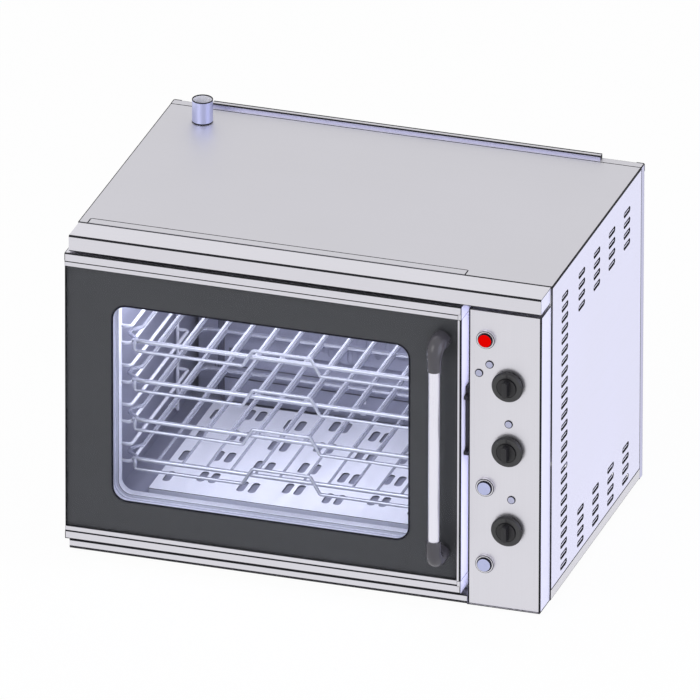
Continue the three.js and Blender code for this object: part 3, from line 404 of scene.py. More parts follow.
def textured(name, colour, metallic, roughness, grain, detail, **sockets):
    """A surface whose colour, roughness and relief vary with a stretched noise and a broad one."""
    made, tree, shader = base_material(name, metallic, roughness, **sockets)
    place = put(tree, "ShaderNodeTexCoord").outputs["Object"]
    stretched = put(tree, "ShaderNodeMapping", {"Vector": place, "Scale": grain}).outputs["Vector"]
    fine = put(tree, "ShaderNodeTexNoise", {"Vector": stretched, "Scale": 1, "Detail": detail.octaves})
    broad = put(tree, "ShaderNodeTexNoise", {
        "Vector": place, "Scale": detail.patches, "Detail": NOISE.broad_octaves,
    })
    both = put(tree, "ShaderNodeMath", {0: fine.outputs["Fac"], 1: broad.outputs["Fac"]}, operation="ADD")

    def spread(middle_value, reach):
        """The noise's value, mapped to a span about a middle value."""
        return put(tree, "ShaderNodeMapRange", {
            "Value": both.outputs[0], "From Min": NOISE.low, "From Max": NOISE.high,
            "To Min": middle_value - reach, "To Max": middle_value + reach,
        }).outputs["Result"]

    tone = spread(1, detail.tone)
    shade = put(tree, "ShaderNodeVectorMath", {0: colour, "Scale": tone}, operation="SCALE")
    tree.links.new(shade.outputs["Vector"], shader.inputs["Base Color"])
    tree.links.new(spread(roughness, detail.rough), shader.inputs["Roughness"])
    bump = put(tree, "ShaderNodeBump", {
        "Height": fine.outputs["Fac"], "Strength": detail.bump, "Distance": detail.depth * MM,
    })
    tree.links.new(bump.outputs["Normal"], shader.inputs["Normal"])
    return made


def detail(octaves=3, patches=6, tone=0.03, rough=0.05, bump=0.1, depth=0.1):
    return SimpleNamespace(octaves=octaves, patches=patches, tone=tone, rough=rough, bump=bump, depth=depth)


BRUSHED = detail(patches=5, tone=0.025, bump=0.12, depth=0.05)
MOULDED = detail(octaves=2, patches=30, tone=0.06, rough=0.06, bump=0.25, depth=0.15)
GLAZED = detail(patches=40, bump=0.05)
DRAWN = detail(tone=0.02, bump=0.05)
WOOLLY = detail(octaves=6, patches=25, tone=0.18, rough=0.03, bump=0.9, depth=3)
ALONG_X = (8, 900, 900)
ALONG_Y = (900, 8, 900)
ALONG_Z = (900, 900, 8)
EVEN = (1500, 1500, 1500)
COARSE = (180, 180, 180)
STEEL = (0.70, 0.69, 0.74)
DULL = {"Specular_IOR_Level": 0.15}

steel = textured("brushed_steel", STEEL, 1, 0.36, ALONG_X, BRUSHED)
steel_upright = textured("brushed_steel_upright", STEEL, 1, 0.36, ALONG_Z, BRUSHED)
# Lighter, bluer copy of the steel for the side panels, louvres and rear cover: painted bluish light from the
# side, not a steel of its own.
steel_side_painted_light = textured("brushed_steel_side", (0.80, 0.80, 0.985), 1, 0.38, ALONG_Y, BRUSHED)
# Darker, rougher copy of the steel for the top sheet and faces that look up: painted shade on the top.
steel_top_painted_shade = textured("brushed_steel_top", (0.62, 0.612, 0.65), 1, 0.5, ALONG_X, BRUSHED)
# Darker, bluer copy of the steel for the back panel: painted shade with a blue cast from the side light.
steel_rear_painted_blue_shade = textured("brushed_steel_rear", (0.55, 0.55, 0.74), 1, 0.38, ALONG_Z, BRUSHED)
# Bluer copy of the steel for the exhaust pipe: a painted tint of the bluish side light.
steel_pipe_painted_light_tint = textured("brushed_steel_pipe", (0.58, 0.61, 0.88), 0.9, 0.34, ALONG_Z, BRUSHED)
handle_steel = textured("handle_steel", (0.81, 0.80, 0.88), 0.9, 0.3, ALONG_Z, BRUSHED)
# Pale, nearly non-metal copy of the steel for faces that look sideways, such as the door's stile in the gap
# by the control panel: painted light where these faces lie in shade.
side_face_painted_light = textured("door_side_steel", (0.80, 0.80, 0.96), 0.15, 0.45, ALONG_Z, BRUSHED)
# Near-white, nearly non-metal steel for the floor plate, the front frame and the inside of the exhaust pipe:
# a pale steel lifted further by painted light so these shaded faces read bright; in the pipe's hollow it is
# painted light only.
plate_steel = textured("plate_steel", (0.93, 0.93, 0.99), 0.1, 0.42, ALONG_X, BRUSHED)
lining = textured("lining_steel", (0.34, 0.345, 0.43), 0.35, 0.45, ALONG_X, BRUSHED)
# Near-black finish for bends, eased rims, cut ends and laid-on strips: painted shade lines at edges and
# seams, not a colour of folded steel.
shade_line_steel = textured("folded_edge_steel", (0.012, 0.012, 0.015), 0, 0.6, EVEN, MOULDED, **DULL)
# Dark grey finish for rims, slot walls and laid-on lines of the front frame, fan baffle and floor plate:
# painted shade lines, not a colour of cut steel.
shade_line_grey = textured("cut_edge_steel", (0.10, 0.10, 0.12), 0, 0.6, EVEN, MOULDED, **DULL)
# Near-white, mostly non-metal finish for the rack ladders and the baffle's tabs: painted light, so the wires
# read bright in the shaded cavity instead of showing chrome's reflections.
chrome_painted_light = textured("chrome_wire", (0.93, 0.93, 0.99), 0.25, 0.25, EVEN, DRAWN)
rack_chrome = textured("rack_chrome", (0.70, 0.71, 0.78), 0.7, 0.24, EVEN, DRAWN)
heater_metal = textured("heater_sheath", (0.16, 0.145, 0.13), 0.7, 0.5, EVEN, detail(tone=0.1, patches=40))
black = textured("black_plastic", (0.008, 0.0075, 0.010), 0, 0.42, EVEN, MOULDED)
dark = textured("dark_handle_plastic", (0.062, 0.059, 0.07), 0, 0.22, EVEN,
                detail(patches=20, tone=0.05, rough=0.03, bump=0.01))
skirt_grey = textured("knob_skirt_plastic", (0.032, 0.032, 0.034), 0, 0.3, EVEN, MOULDED)
# Near-black finish for the rims of the bezels, buttons and pilot lamps and the window's edge in the door
# print: painted shade lines at those edges.
rim_shade_line = textured("dark_rim", (0.006, 0.006, 0.012), 0, 0.5, EVEN, MOULDED, **DULL)
printed = textured("printed_border", (0.047, 0.047, 0.048), 0, 0.45, EVEN,
                   detail(patches=12, tone=0.05, rough=0.03, bump=0.01))
rubber = textured("rubber", (0.035, 0.035, 0.038), 0, 0.75, EVEN, MOULDED)
silicone = textured("silicone_gasket", (0.76, 0.76, 0.84), 0, 0.6, EVEN, MOULDED)
wool = textured("mineral_wool", (0.66, 0.58, 0.38), 0, 0.95, COARSE, WOOLLY)
red = textured("red_plastic", (0.80, 0.0008, 0.0004), 0, 0.5, EVEN, GLAZED, Specular_IOR_Level=0)
pale = textured("pale_plastic", (0.48, 0.51, 0.74), 0, 0.3, EVEN, GLAZED)
lamp_cap = textured("lamp_plastic", (0.46, 0.47, 0.62), 0, 0.28, EVEN, GLAZED)

GLASS = SimpleNamespace(bend=1.12, patches=9, octaves=3, smear=0.01)


def glass_material(name, tint, roughness):
    """Clear glass, which lets the lamps' light through to what is behind it."""
    made, tree, shader = base_material(name, 0, roughness, Transmission_Weight=1, IOR=GLASS.bend)
    place = put(tree, "ShaderNodeTexCoord").outputs["Object"]
    cloud = put(tree, "ShaderNodeTexNoise", {
        "Vector": place, "Scale": GLASS.patches, "Detail": GLASS.octaves,
    })
    smear = put(tree, "ShaderNodeMapRange", {
        "Value": cloud.outputs["Fac"], "To Min": roughness, "To Max": roughness + GLASS.smear,
    })
    tree.links.new(smear.outputs["Result"], shader.inputs["Roughness"])
    shader.inputs["Base Color"].default_value = (*tint, 1)
    clear = put(tree, "ShaderNodeBsdfTransparent", {"Color": (*tint, 1)})
    path = put(tree, "ShaderNodeLightPath")
    either = put(tree, "ShaderNodeMath", {
        0: path.outputs["Is Shadow Ray"], 1: path.outputs["Is Diffuse Ray"],
    }, operation="MAXIMUM")
    mixed = put(tree, "ShaderNodeMixShader", {
        0: either.outputs[0], 1: shader.outputs["BSDF"], 2: clear.outputs["BSDF"],
    })
    tree.links.new(mixed.outputs[0], tree.nodes["Material Output"].inputs["Surface"])
    return made


glass = glass_material("clear_glass", (0.93, 0.94, 0.97), 0.01)
lens_glass = glass_material("lamp_glass", (0.90, 0.92, 0.96), 0.12)


# Places

pan_box = box_of("base_pan")
left_box = box_of("left_side_panel")
right_box = box_of("right_side_panel")
back_box = box_of("back_panel")
top_box = box_of("top_panel")
visor_box = box_of("visor")
front_box = box_of("front_frame")
control_box = box_of("control_panel")
cover_box = box_of("rear_motor_cover")
liner_box = box_of("cavity_liner")
baffle_box = box_of("fan_baffle")
plate_box = box_of("floor_plate")
glass_box = box_of("door_outer_glass")
door_box = box_of("door_frame")
pipe_box = box_of("exhaust_pipe")

ORIGIN = Vector((pan_box.x0, left_box.y0, pan_box.z0))
TOP = top_box.z1
CAVITY = Box(
    liner_box.x0 + SHEET.thickness, front_box.y0, liner_box.z0 + SHEET.thickness,
    liner_box.x1 - SHEET.thickness, liner_box.y1 - SHEET.thickness, liner_box.z1 - SHEET.thickness,
)
MOUTH = sizes(inset=12, corner=20, sill=14.7)


# Camera

VIEW = SimpleNamespace(lens=1500, sensor=36, azimuth=17.77196, elevation=25.20395, roll=0.12645,
                       across=0.383798, above=0.260579, away=41.23109, near=0.1, far=60)


def make_camera():
    azimuth, elevation, roll = (math.radians(a) for a in (VIEW.azimuth, VIEW.elevation, VIEW.roll))
    back = Vector((
        math.sin(azimuth) * math.cos(elevation),
        -math.cos(azimuth) * math.cos(elevation),
        math.sin(elevation),
    ))
    level = Vector((math.cos(azimuth), math.sin(azimuth), 0))
    upright = back.cross(level)
    right = math.cos(roll) * level + math.sin(roll) * upright
    up = math.cos(roll) * upright - math.sin(roll) * level
    camera = bpy.data.objects.new("camera", bpy.data.cameras.new("camera"))
    camera.data.lens = VIEW.lens
    camera.data.sensor_width = VIEW.sensor
    camera.data.clip_start = VIEW.near
    camera.data.clip_end = VIEW.far
    place = Matrix((right, up, back)).transposed().to_4x4()
    place.translation = ORIGIN + right * VIEW.across + up * VIEW.above + back * VIEW.away
    camera.matrix_world = place
    scene.collection.objects.link(camera)
    scene.camera = camera


# Light, world and floor

LIGHT = SimpleNamespace(world=0.78, seen=1.0, floor_lift=0.95)
LAMP_SIDES = (2.2, 2.2)
KEY_LAMP = SimpleNamespace(place=(-1.4, -2.6, 2.6), power=30, colour=(1, 1, 1))
SIDE_LAMP = SimpleNamespace(place=(2.6, -0.4, 0.9), power=22, colour=(0.72, 0.74, 1))
OVEN_LAMP = SimpleNamespace(sides=(0.42, 0.17), power=2.1, colour=(0.92, 0.93, 1), drop=6 * MM)
GAP_LIGHT = SimpleNamespace(power=0.045, colour=(0.92, 0.92, 1))
FLOOR_GREY = (0.9, 0.9, 0.9, 1)


def seen_ray(tree):
    """1 for rays of sight, straight or by way of a mirror or glass; 0 for light that falls on things."""
    path = put(tree, "ShaderNodeLightPath")
    first = put(tree, "ShaderNodeMath", {
        0: path.outputs["Is Camera Ray"], 1: path.outputs["Is Glossy Ray"],
    }, operation="MAXIMUM")
    both = put(tree, "ShaderNodeMath", {
        0: first.outputs[0], 1: path.outputs["Is Transmission Ray"],
    }, operation="MAXIMUM")
    return both.outputs[0]


def make_world():
    world = bpy.data.worlds.new("studio")
    scene.world = world
    world.use_nodes = True
    tree = world.node_tree
    tree.nodes.clear()
    fill = put(tree, "ShaderNodeBackground", {"Color": WHITE, "Strength": LIGHT.world})
    sight = put(tree, "ShaderNodeBackground", {"Color": WHITE, "Strength": LIGHT.seen})
    mixed = put(tree, "ShaderNodeMixShader", {
        0: seen_ray(tree), 1: fill.outputs[0], 2: sight.outputs[0],
    })
    put(tree, "ShaderNodeOutputWorld", {"Surface": mixed.outputs[0]})


def area_light(name, spot, target, sides, lamp):
    """A rectangular lamp at a spot, turned to a target; the camera doesn't see it."""
    data = bpy.data.lights.new(name, "AREA")
    data.shape = "RECTANGLE"
    data.size, data.size_y = sides
    data.energy = lamp.power
    data.color = lamp.colour
    made = bpy.data.objects.new(name, data)
    made.location = spot
    made.rotation_euler = (target - spot).to_track_quat("-Z", "Y").to_euler()
    made.visible_camera = False
    scene.collection.objects.link(made)
    return made


def make_lights():
    heart = Vector((0, 0, TOP / 2))
    for name, lamp in (("key", KEY_LAMP), ("side", SIDE_LAMP)):
        area_light(name, heart + Vector(lamp.place), heart, LAMP_SIDES, lamp)
    ceiling = Vector((CAVITY.x, middle(CAVITY.y0, CAVITY.y), CAVITY.z1 - OVEN_LAMP.drop))
    inside = area_light("oven_lamp", ceiling, ceiling - Vector((0, 0, 1)), OVEN_LAMP.sides, OVEN_LAMP)
    inside.visible_glossy = False
    sides = (door_box.y1 - door_box.y0, door_box.z1 - door_box.z0)
    stile = Vector((control_box.x0 - SHEET.gap, door_box.y, door_box.z))
    gap = area_light("gap_light", stile, stile - Vector((1, 0, 0)), sides, GAP_LIGHT)
    gap.visible_glossy = False


FLOOR_SIDE = 30


def make_floor():
    material = bpy.data.materials.new("studio_floor")
    material.use_nodes = True
    tree = material.node_tree
    tree.nodes.clear()
    matt = put(tree, "ShaderNodeBsdfDiffuse", {"Color": FLOOR_GREY})
    glow = put(tree, "ShaderNodeEmission", {"Color": WHITE, "Strength": LIGHT.seen})
    share = put(tree, "ShaderNodeMath", {0: seen_ray(tree), 1: LIGHT.floor_lift}, operation="MULTIPLY")
    mixed = put(tree, "ShaderNodeMixShader", {0: share.outputs[0], 1: matt.outputs[0], 2: glow.outputs[0]})
    put(tree, "ShaderNodeOutputMaterial", {"Surface": mixed.outputs[0]})
    half = FLOOR_SIDE / 2
    corners = rectangle(-half, -half, half, half)
    mesh = bpy.data.meshes.new("floor")
    mesh.from_pydata([p.to_3d() for p in corners], [], [range(len(corners))])
    mesh.materials.append(material)
    floor = bpy.data.objects.new("floor", mesh)
    scene.collection.objects.link(floor)


make_camera()
make_world()
make_lights()
make_floor()

# Casing

# Finish sets: the second finish is the near-black painted shade line; SIDE_PAIR and TOP_PAIR give whole
# panels the painted side light and top shade, and the third finish of DOOR_STEELS and CONTROL_STEELS is the
# pale painted light for faces that look sideways.
STEEL_PAIR = (steel, shade_line_steel)
SIDE_PAIR = (steel_side_painted_light, shade_line_steel)
TOP_PAIR = (steel_top_painted_shade, shade_line_steel)
DOOR_STEELS = (steel, shade_line_steel, side_face_painted_light)
CONTROL_STEELS = (steel_upright, shade_line_steel, side_face_painted_light)

SHELL = sizes(
    wall=16, lip=14, tongue_inset=2, lip_left=60, lip_right=63, lip_depth=9.6,
    visor_lip=11, visor_flange=12.4, notch_left=15, notch_right=130, notch_depth=15.7, notch_corner=2,
    corner=12, end_inset=0.9, crest=3,
)
SHELL_GLAND_SHARE = 1 / 3


def make_base_pan():
    soup = Soup()
    x0, x1 = pan_box.x0 + HALF_SHEET, pan_box.x1 - HALF_SHEET
    z0 = pan_box.z0 + HALF_SHEET
    top = pan_box.z0 + SHELL.wall
    soup.fold([(x0, top), (x0, z0), (x1, z0), (x1, top)], "y", left_box.y0, left_box.y1)
    left = pan_box.x0 + SHELL.tongue_inset
    right = pan_box.x1 - SHELL.tongue_inset
    lip_end = control_box.x0 - SHEET.gap
    front = pan_box.y0 + HALF_SHEET
    lip_top = pan_box.z0 + SHELL.lip
    back = left_box.y0 + SHEET.thickness
    soup.fold([(back, z0), (front, z0), (front, lip_top)], "x", left, lip_end)
    # Two near-black strips laid on the lip's front face: painted shade lines, not parts of the pan.
    face = pan_box.y0 - SHEET.fine
    for low, high in ((lip_top - SHEET.outline, lip_top), (z0 + SHEET.bend, z0 + 2 * SHEET.bend)):
        soup.prism(rectangle(face, low, front, high), "x", left, lip_end, EDGE)
    soup.fold([(back, z0), (pan_box.y0, z0)], "x", lip_end, right)
    soup.plate(rectangle(front, z0, back, lip_top), [], "x", left, left + SHEET.thickness)
    shown("base_pan_folded", soup, "casing", STEEL_PAIR, "stainless", "base_pan")


VENT = sizes(
    width=7, length=28.6, first_row=30.5, last_row=39.4, first_column=59, near_pitch=79, last_column=68.3,
    ring=2.2, rim=1.2, recess=0.7, strip=36, strip_gap=2.5,
)
VENT_ROWS = 26
VENT_END_ROWS = 4
VENT_FAR_COLUMNS = 4


def vent_places():
    """The middle of each vent slot, as its place along Y and its height."""
    second = left_box.y0 + VENT.first_column + VENT.near_pitch
    far = left_box.y1 - VENT.last_column
    pitch = (far - second) / (VENT_FAR_COLUMNS - 1)
    columns = [left_box.y0 + VENT.first_column] + [second + k * pitch for k in range(VENT_FAR_COLUMNS)]
    bottom = pan_box.z0 + VENT.first_row
    rise = (TOP - VENT.last_row - bottom) / (VENT_ROWS - 1)
    ends = [k for k in range(VENT_ROWS) if k < VENT_END_ROWS or k >= VENT_ROWS - VENT_END_ROWS]
    rows = [range(VENT_ROWS)] + [ends] * VENT_FAR_COLUMNS
    return [(y, bottom + k * rise) for y, kept in zip(columns, rows) for k in kept]


def make_side_panels():
    slots = [oblong(y, z, VENT.length, VENT.width) for y, z in vent_places()]
    for side, box, holes in (("left", left_box, []), ("right", right_box, slots)):
        soup = Soup()
        rims = {"outer_rim": SHEET.band, "hole_rim": VENT.rim}
        soup.plate(left_box.outline("x"), holes, "x", box.x0, box.x1, **rims)
        shown(f"{side}_side_sheet", soup, "casing", SIDE_PAIR, "stainless", f"{side}_side_panel")
    louvres = Soup()
    back = right_box.x0 - VENT.strip_gap
    for y, z in vent_places():
        pad = oblong(y, z, VENT.length - 2 * VENT.ring, VENT.width - 2 * VENT.ring)
        louvres.plate(pad, [], "x", back, right_box.x1 - VENT.recess)
    # Near-black strips just behind the slots darken the ring round each pad: painted shade in the gaps.
    for y in sorted({y for y, z in vent_places()}):
        outline = rectangle(y - VENT.strip / 2, left_box.z0, y + VENT.strip / 2, left_box.z1)
        louvres.plate(outline, [], "x", back - SHEET.thickness, back, mark=EDGE)
    shown("right_side_louvres", louvres, "casing", SIDE_PAIR, "stainless")


def make_back_panel():
    soup = Soup()
    y = back_box.y1 - HALF_SHEET
    front = back_box.y0
    x0, x1 = back_box.x0 + HALF_SHEET, back_box.x1 - HALF_SHEET
    z0, z1 = back_box.z0, TOP
    inner0, inner1 = back_box.x0 + SHELL.corner, back_box.x1 - SHELL.corner
    soup.fold([(x0, front), (x0, y), (inner0, y)], "z", z0, z1)
    soup.fold([(x1, front), (x1, y), (inner1, y)], "z", z0, z1)
    motor = box_of("fan_motor")
    gland = box_of("cable_gland")
    holes = [
        circle(CAVITY.x, CAVITY.z, motor.radius - SHELL.end_inset, ROUND_STEPS),
        circle(gland.x, gland.z, (gland.x1 - gland.x0) * SHELL_GLAND_SHARE),
    ]
    outline = rectangle(inner0, z0, inner1, z1 - SHELL.corner)
    soup.plate(outline, holes, "y", back_box.y1 - SHEET.thickness, back_box.y1, outer_rim=SHEET.fine)
    top = z1 - HALF_SHEET
    before = len(soup.faces)
    soup.fold([(front, top), (y, top), (y, z1 - SHELL.corner)], "x", back_box.x0, back_box.x1)
    lip_top = back_box.z1 - HALF_SHEET
    lip_front = back_box.y1 - SHELL.lip_depth + HALF_SHEET
    lip0, lip1 = back_box.x0 + SHELL.lip_left, back_box.x1 - SHELL.lip_right
    line = [(lip_front, z1), (lip_front, lip_top), (y, lip_top), (y, z1 - SHELL.corner / 2)]
    soup.fold(line, "x", lip0, lip1, SHEET.tight)
    # Faces of the folds that look up take the darker copy of the steel: painted shade on the top.
    soup.mark_facing_light_and_shade("z", before)
    # A near-black strip along the lip's back edge and near-black ends of the lip: painted shade lines.
    crest = rectangle(back_box.y1 - SHELL.crest, lip_top, back_box.y1, back_box.z1 + SHEET.fine)
    soup.prism(crest, "x", lip0, lip1, EDGE)
    for end in (lip0, lip1 - SHEET.thickness):
        side = rectangle(lip_front, z1 - SHEET.thickness, y, lip_top)
        soup.plate(side, [], "x", end, end + SHEET.thickness, mark=EDGE)
    finishes = (steel_rear_painted_blue_shade, shade_line_steel, steel_top_painted_shade)
    shown("back_panel_folded", soup, "casing", finishes, "stainless", "back_panel")


def make_top_panel():
    soup = Soup()
    x0, x1 = top_box.x0, top_box.x1
    y0, y1 = top_box.y0, top_box.y1
    n0 = x0 + SHELL.notch_left - SHEET.gap
    n1 = x1 - SHELL.notch_right + SHEET.gap
    notch = y0 + SHELL.notch_depth + SHEET.gap
    corners = [(x0, y0), (n0, y0), (n0, notch), (n1, notch), (n1, y0), (x1, y0), (x1, y1), (x0, y1)]
    round_at = [0, 0, SHELL.notch_corner, SHELL.notch_corner, 0, 0, 0, 0]
    outline = fillet(corners, round_at, closed=True)[0]
    pipe_x, pipe_y = pipe_box.x, pipe_box.y
    hole = circle(pipe_x, pipe_y, PIPE.neck + SHEET.gap, ROUND_STEPS)
    # The top sheet takes the darker copy of the steel, and its outer rim a near-black band: painted shade on
    # the top and a painted shade line round it.
    soup.plate(outline, [hole], "z", top_box.z0, top_box.z1, outer_rim=SHEET.band)
    shown("top_sheet", soup, "casing", TOP_PAIR, "stainless", "top_panel")


def make_visor():
    soup = Soup()
    y0, y1 = visor_box.y0 + HALF_SHEET, visor_box.y1 - HALF_SHEET
    z0, z1 = visor_box.z0 + HALF_SHEET, visor_box.z1 - HALF_SHEET
    flange = visor_box.z1 - SHELL.visor_flange
    lip = visor_box.y0 + SHELL.visor_lip
    line = [(y1, flange), (y1, z1), (y0, z1), (y0, z0), (lip, z0)]
    radii = [0, SHEET.tight, SHEET.bend, SHEET.tight, 0]
    soup.fold(line, "x", visor_box.x0, visor_box.x1, radii)
    inner = round_rect(y0 + HALF_SHEET, z0 - HALF_SHEET, y1 - HALF_SHEET, z1 - HALF_SHEET, SHEET.bend)
    for end in (visor_box.x0 + SHELL.end_inset, visor_box.x1 - SHELL.end_inset - SHEET.thickness):
        soup.plate(inner, [], "x", end, end + SHEET.thickness)
    # A near-black strip along the visor's back edge stands for the shade in the seam to the top panel: a
    # painted shade line.
    seam_shade_line = rectangle(visor_box.y1 - SHEET.outline, z1, visor_box.y1, visor_box.z1 + SHEET.fine)
    soup.prism(seam_shade_line, "x", visor_box.x0, visor_box.x1, EDGE)
    # Faces that look sideways take the pale copy of the steel: painted light.
    soup.mark_facing_light_and_shade("x")
    shown("visor_folded", soup, "casing", DOOR_STEELS, "stainless", "visor")


WINDOW = sizes(margin=9, bottom=25, top=37, corner=3)


def make_front_frame():
    soup = Soup()
    y0, y1 = front_box.y0, front_box.y0 + SHEET.thickness
    outline = rectangle(front_box.x0, front_box.z0, front_box.x1, top_box.z0 - SHEET.gap)
    mouth = CAVITY.outline("y", MOUTH.inset, MOUTH.corner)
    wiring = round_rect(
        control_box.x0 + WINDOW.margin, pan_box.z0 + WINDOW.bottom,
        control_box.x1 - WINDOW.margin, TOP - WINDOW.top, WINDOW.corner,
    )
    soup.plate(outline, [mouth, wiring], "y", y0, y1)
    collar = CAVITY.outline("y", MOUTH.inset - SHEET.thickness, MOUTH.corner + SHEET.thickness)
    soup.plate(collar, [mouth], "y", y1 - SHEET.fine, y0 + MOUTH.sill, outer_rim=SHEET.fine, side=FACE)
    x0 = top_box.x0 + SHELL.notch_left
    x1 = top_box.x1 - SHELL.notch_right
    y = y0 + HALF_SHEET
    top = TOP - HALF_SHEET
    riser = top_box.z0 - SHELL.corner / 2
    before = len(soup.faces)
    soup.fold([(y0 + SHELL.notch_depth, top), (y, top), (y, riser)], "x", x0, x1, SHEET.tight)
    # All plain faces of the top fold take the darker top copy of the steel: painted shade.
    soup.marks[before:] = [mark or SIDE for mark in soup.marks[before:]]
    finishes = (plate_steel, shade_line_grey, steel_top_painted_shade)
    shown("front_frame_folded", soup, "casing", finishes, "bright_steel", "front_frame")


def make_control_panel():
    soup = Soup()
    x0, x1 = control_box.x0 + HALF_SHEET, control_box.x1 - HALF_SHEET
    y0, y1 = control_box.y0 + HALF_SHEET, control_box.y1
    z0, z1 = control_box.z0, control_box.z1
    in0, in1 = control_box.x0 + FASCIA.strip, control_box.x1 - FASCIA.strip
    soup.fold([(x0, y1), (x0, y0), (in0, y0)], "z", z0, z1)
    soup.fold([(x1, y1), (x1, y0), (in1, y0)], "z", z0, z1)
    bores = {"knob_" + name: FASCIA.bush for name in KNOBS}
    bores.update({"button_bezel_" + name: FASCIA.barrel for name in BUTTONS})
    bores.update({f"pilot_lamp_{k + 1}": FASCIA.stem for k in range(PILOTS)})
    holes = [circle(box_of(node).x, box_of(node).z, bore) for node, bore in bores.items()]
    outline = rectangle(in0, z0, in1, z1)
    soup.plate(outline, holes, "y", control_box.y0, control_box.y0 + SHEET.thickness, outer_rim=SHEET.fine)
    lid = rectangle(x0, y0, x1, y1)
    soup.plate(lid, [], "z", z1 - SHEET.thickness, z1)
    # Faces that look sideways take the pale copy of the steel: painted light on the panel's sides.
    soup.mark_facing_light_and_shade("x")
    shown("control_panel_folded", soup, "casing", CONTROL_STEELS, "stainless", "control_panel")


COVER = sizes(flange=10, slot=6, slot_length=96, slot_pitch=24, corner=4, rim_corner=6, screw=3.2,
              screw_rise=1.0)
COVER_ROWS = 6


def make_rear_cover():
    soup = Soup()
    f = COVER.flange
    front, back = cover_box.y0, cover_box.y1
    t = SHEET.thickness
    walls = cover_box.outline("y", f, COVER.corner)
    hollow = cover_box.outline("y", f + t, COVER.corner - t)
    soup.plate(walls, [hollow], "y", front, back - t, side=FACE)
    slots = []
    for row in range(COVER_ROWS):
        for side in (-1, 1):
            x = CAVITY.x + side * (COVER.slot_length + COVER.slot_pitch) / 2
            z = CAVITY.z + (row - (COVER_ROWS - 1) / 2) * COVER.slot_pitch
            slots.append(oblong(x, z, COVER.slot_length, COVER.slot))
    soup.plate(walls, slots, "y", back - t - SHEET.fine, back, outer_rim=SHEET.edge)
    rim = cover_box.outline("y", 0, COVER.rim_corner)
    soup.plate(rim, [hollow], "y", front, front + t)
    for x in (cover_box.x0 + f / 2, cover_box.x1 - f / 2):
        for z in (cover_box.z0 + f / 2, CAVITY.z, cover_box.z1 - f / 2):
            seat = front + t
            head = seat + COVER.screw_rise
            shoulder = head - COVER.screw_rise / 2
            crown = [(COVER.screw, shoulder), (COVER.screw / 2, head), (0, head)]
            soup.lathe([(0, seat), (COVER.screw, seat)] + crown, (x, z), "y", PIN_STEPS)
    shown("rear_cover_folded", soup, "casing", SIDE_PAIR, "stainless", "rear_motor_cover")


FOOT = sizes(taper=2.2, edge=0.8, recess=1.4, socket=5)
FEET = 4


def make_feet():
    for k in range(FEET):
        name = f"foot_{k + 1}"
        box = box_of(name)
        line = [
            (0, box.z0 + FOOT.recess), (FOOT.socket, box.z0 + FOOT.recess), (FOOT.socket, box.z0),
            (box.radius - FOOT.taper, box.z0), (box.radius, box.z1), (0, box.z1),
        ]
        soup = Soup()
        soup.lathe(fillet(line, FOOT.edge)[0], (box.x, box.y), "z")
        shown(name + "_moulded", soup, "casing", (rubber,), "rubber", name)


PIPE = sizes(neck=12, wall=1.2, line=1.6)


def make_exhaust_pipe():
    radius = (pipe_box.x1 - pipe_box.x0) / 2
    seat = TOP + SHEET.gap
    wall = PIPE.wall
    rim = pipe_box.z1 - PIPE.line
    line = [
        (PIPE.neck - wall, pipe_box.z0), (PIPE.neck, pipe_box.z0), (PIPE.neck, seat), (radius, seat),
        (radius, seat + PIPE.line), (radius, rim), (radius, pipe_box.z1), (radius - wall, pipe_box.z1),
        (radius - wall, rim), (radius - wall, seat + wall), (PIPE.neck - wall, seat + wall),
    ]
    radii = [0, 0, 0, SHEET.edge, 0, 0, SHEET.edge, SHEET.edge, 0, 0, 0]
    profile = fillet(line, radii, closed=True)[0]
    # Rim faces take the near-black painted shade line, and the inside of the pipe the near-white copy of the
    # steel: painted light in the pipe's hollow.
    marks = []
    for a, b in zip(profile, profile[1:] + profile[:1]):
        reach, height = middle(a.x, b.x), middle(a.y, b.y)
        rim = height > pipe_box.z1 - PIPE.line or (reach > PIPE.neck and height < seat + PIPE.line)
        inside = height > seat and reach < radius - wall / 2
        marks.append(EDGE if rim else SIDE if inside else FACE)
    soup = Soup()
    centre = (pipe_box.x, pipe_box.y)
    soup.lathe(profile, centre, "z", marks=marks, closed=True)
    finishes = (steel_pipe_painted_light_tint, shade_line_steel, plate_steel)
    shown("exhaust_pipe_turned", soup, "casing", finishes, "bright_steel", "exhaust_pipe")


# Cavity

BAFFLE = sizes(
    inset=9, back=45, offset=20, flange=30, slope=14, lap=4, radius=82, slot=7, pitch=14, bend=2,
    groove_low=56, groove_high=84, groove_depth=7, bead_low=37, bead_corner=38, bead=1, tab=8, tab_height=1,
    tab_pitch_x=40, tab_pitch_z=18, tab_low=10,
)
INTAKE_SLOTS = 11
GROOVE_STEPS = 10


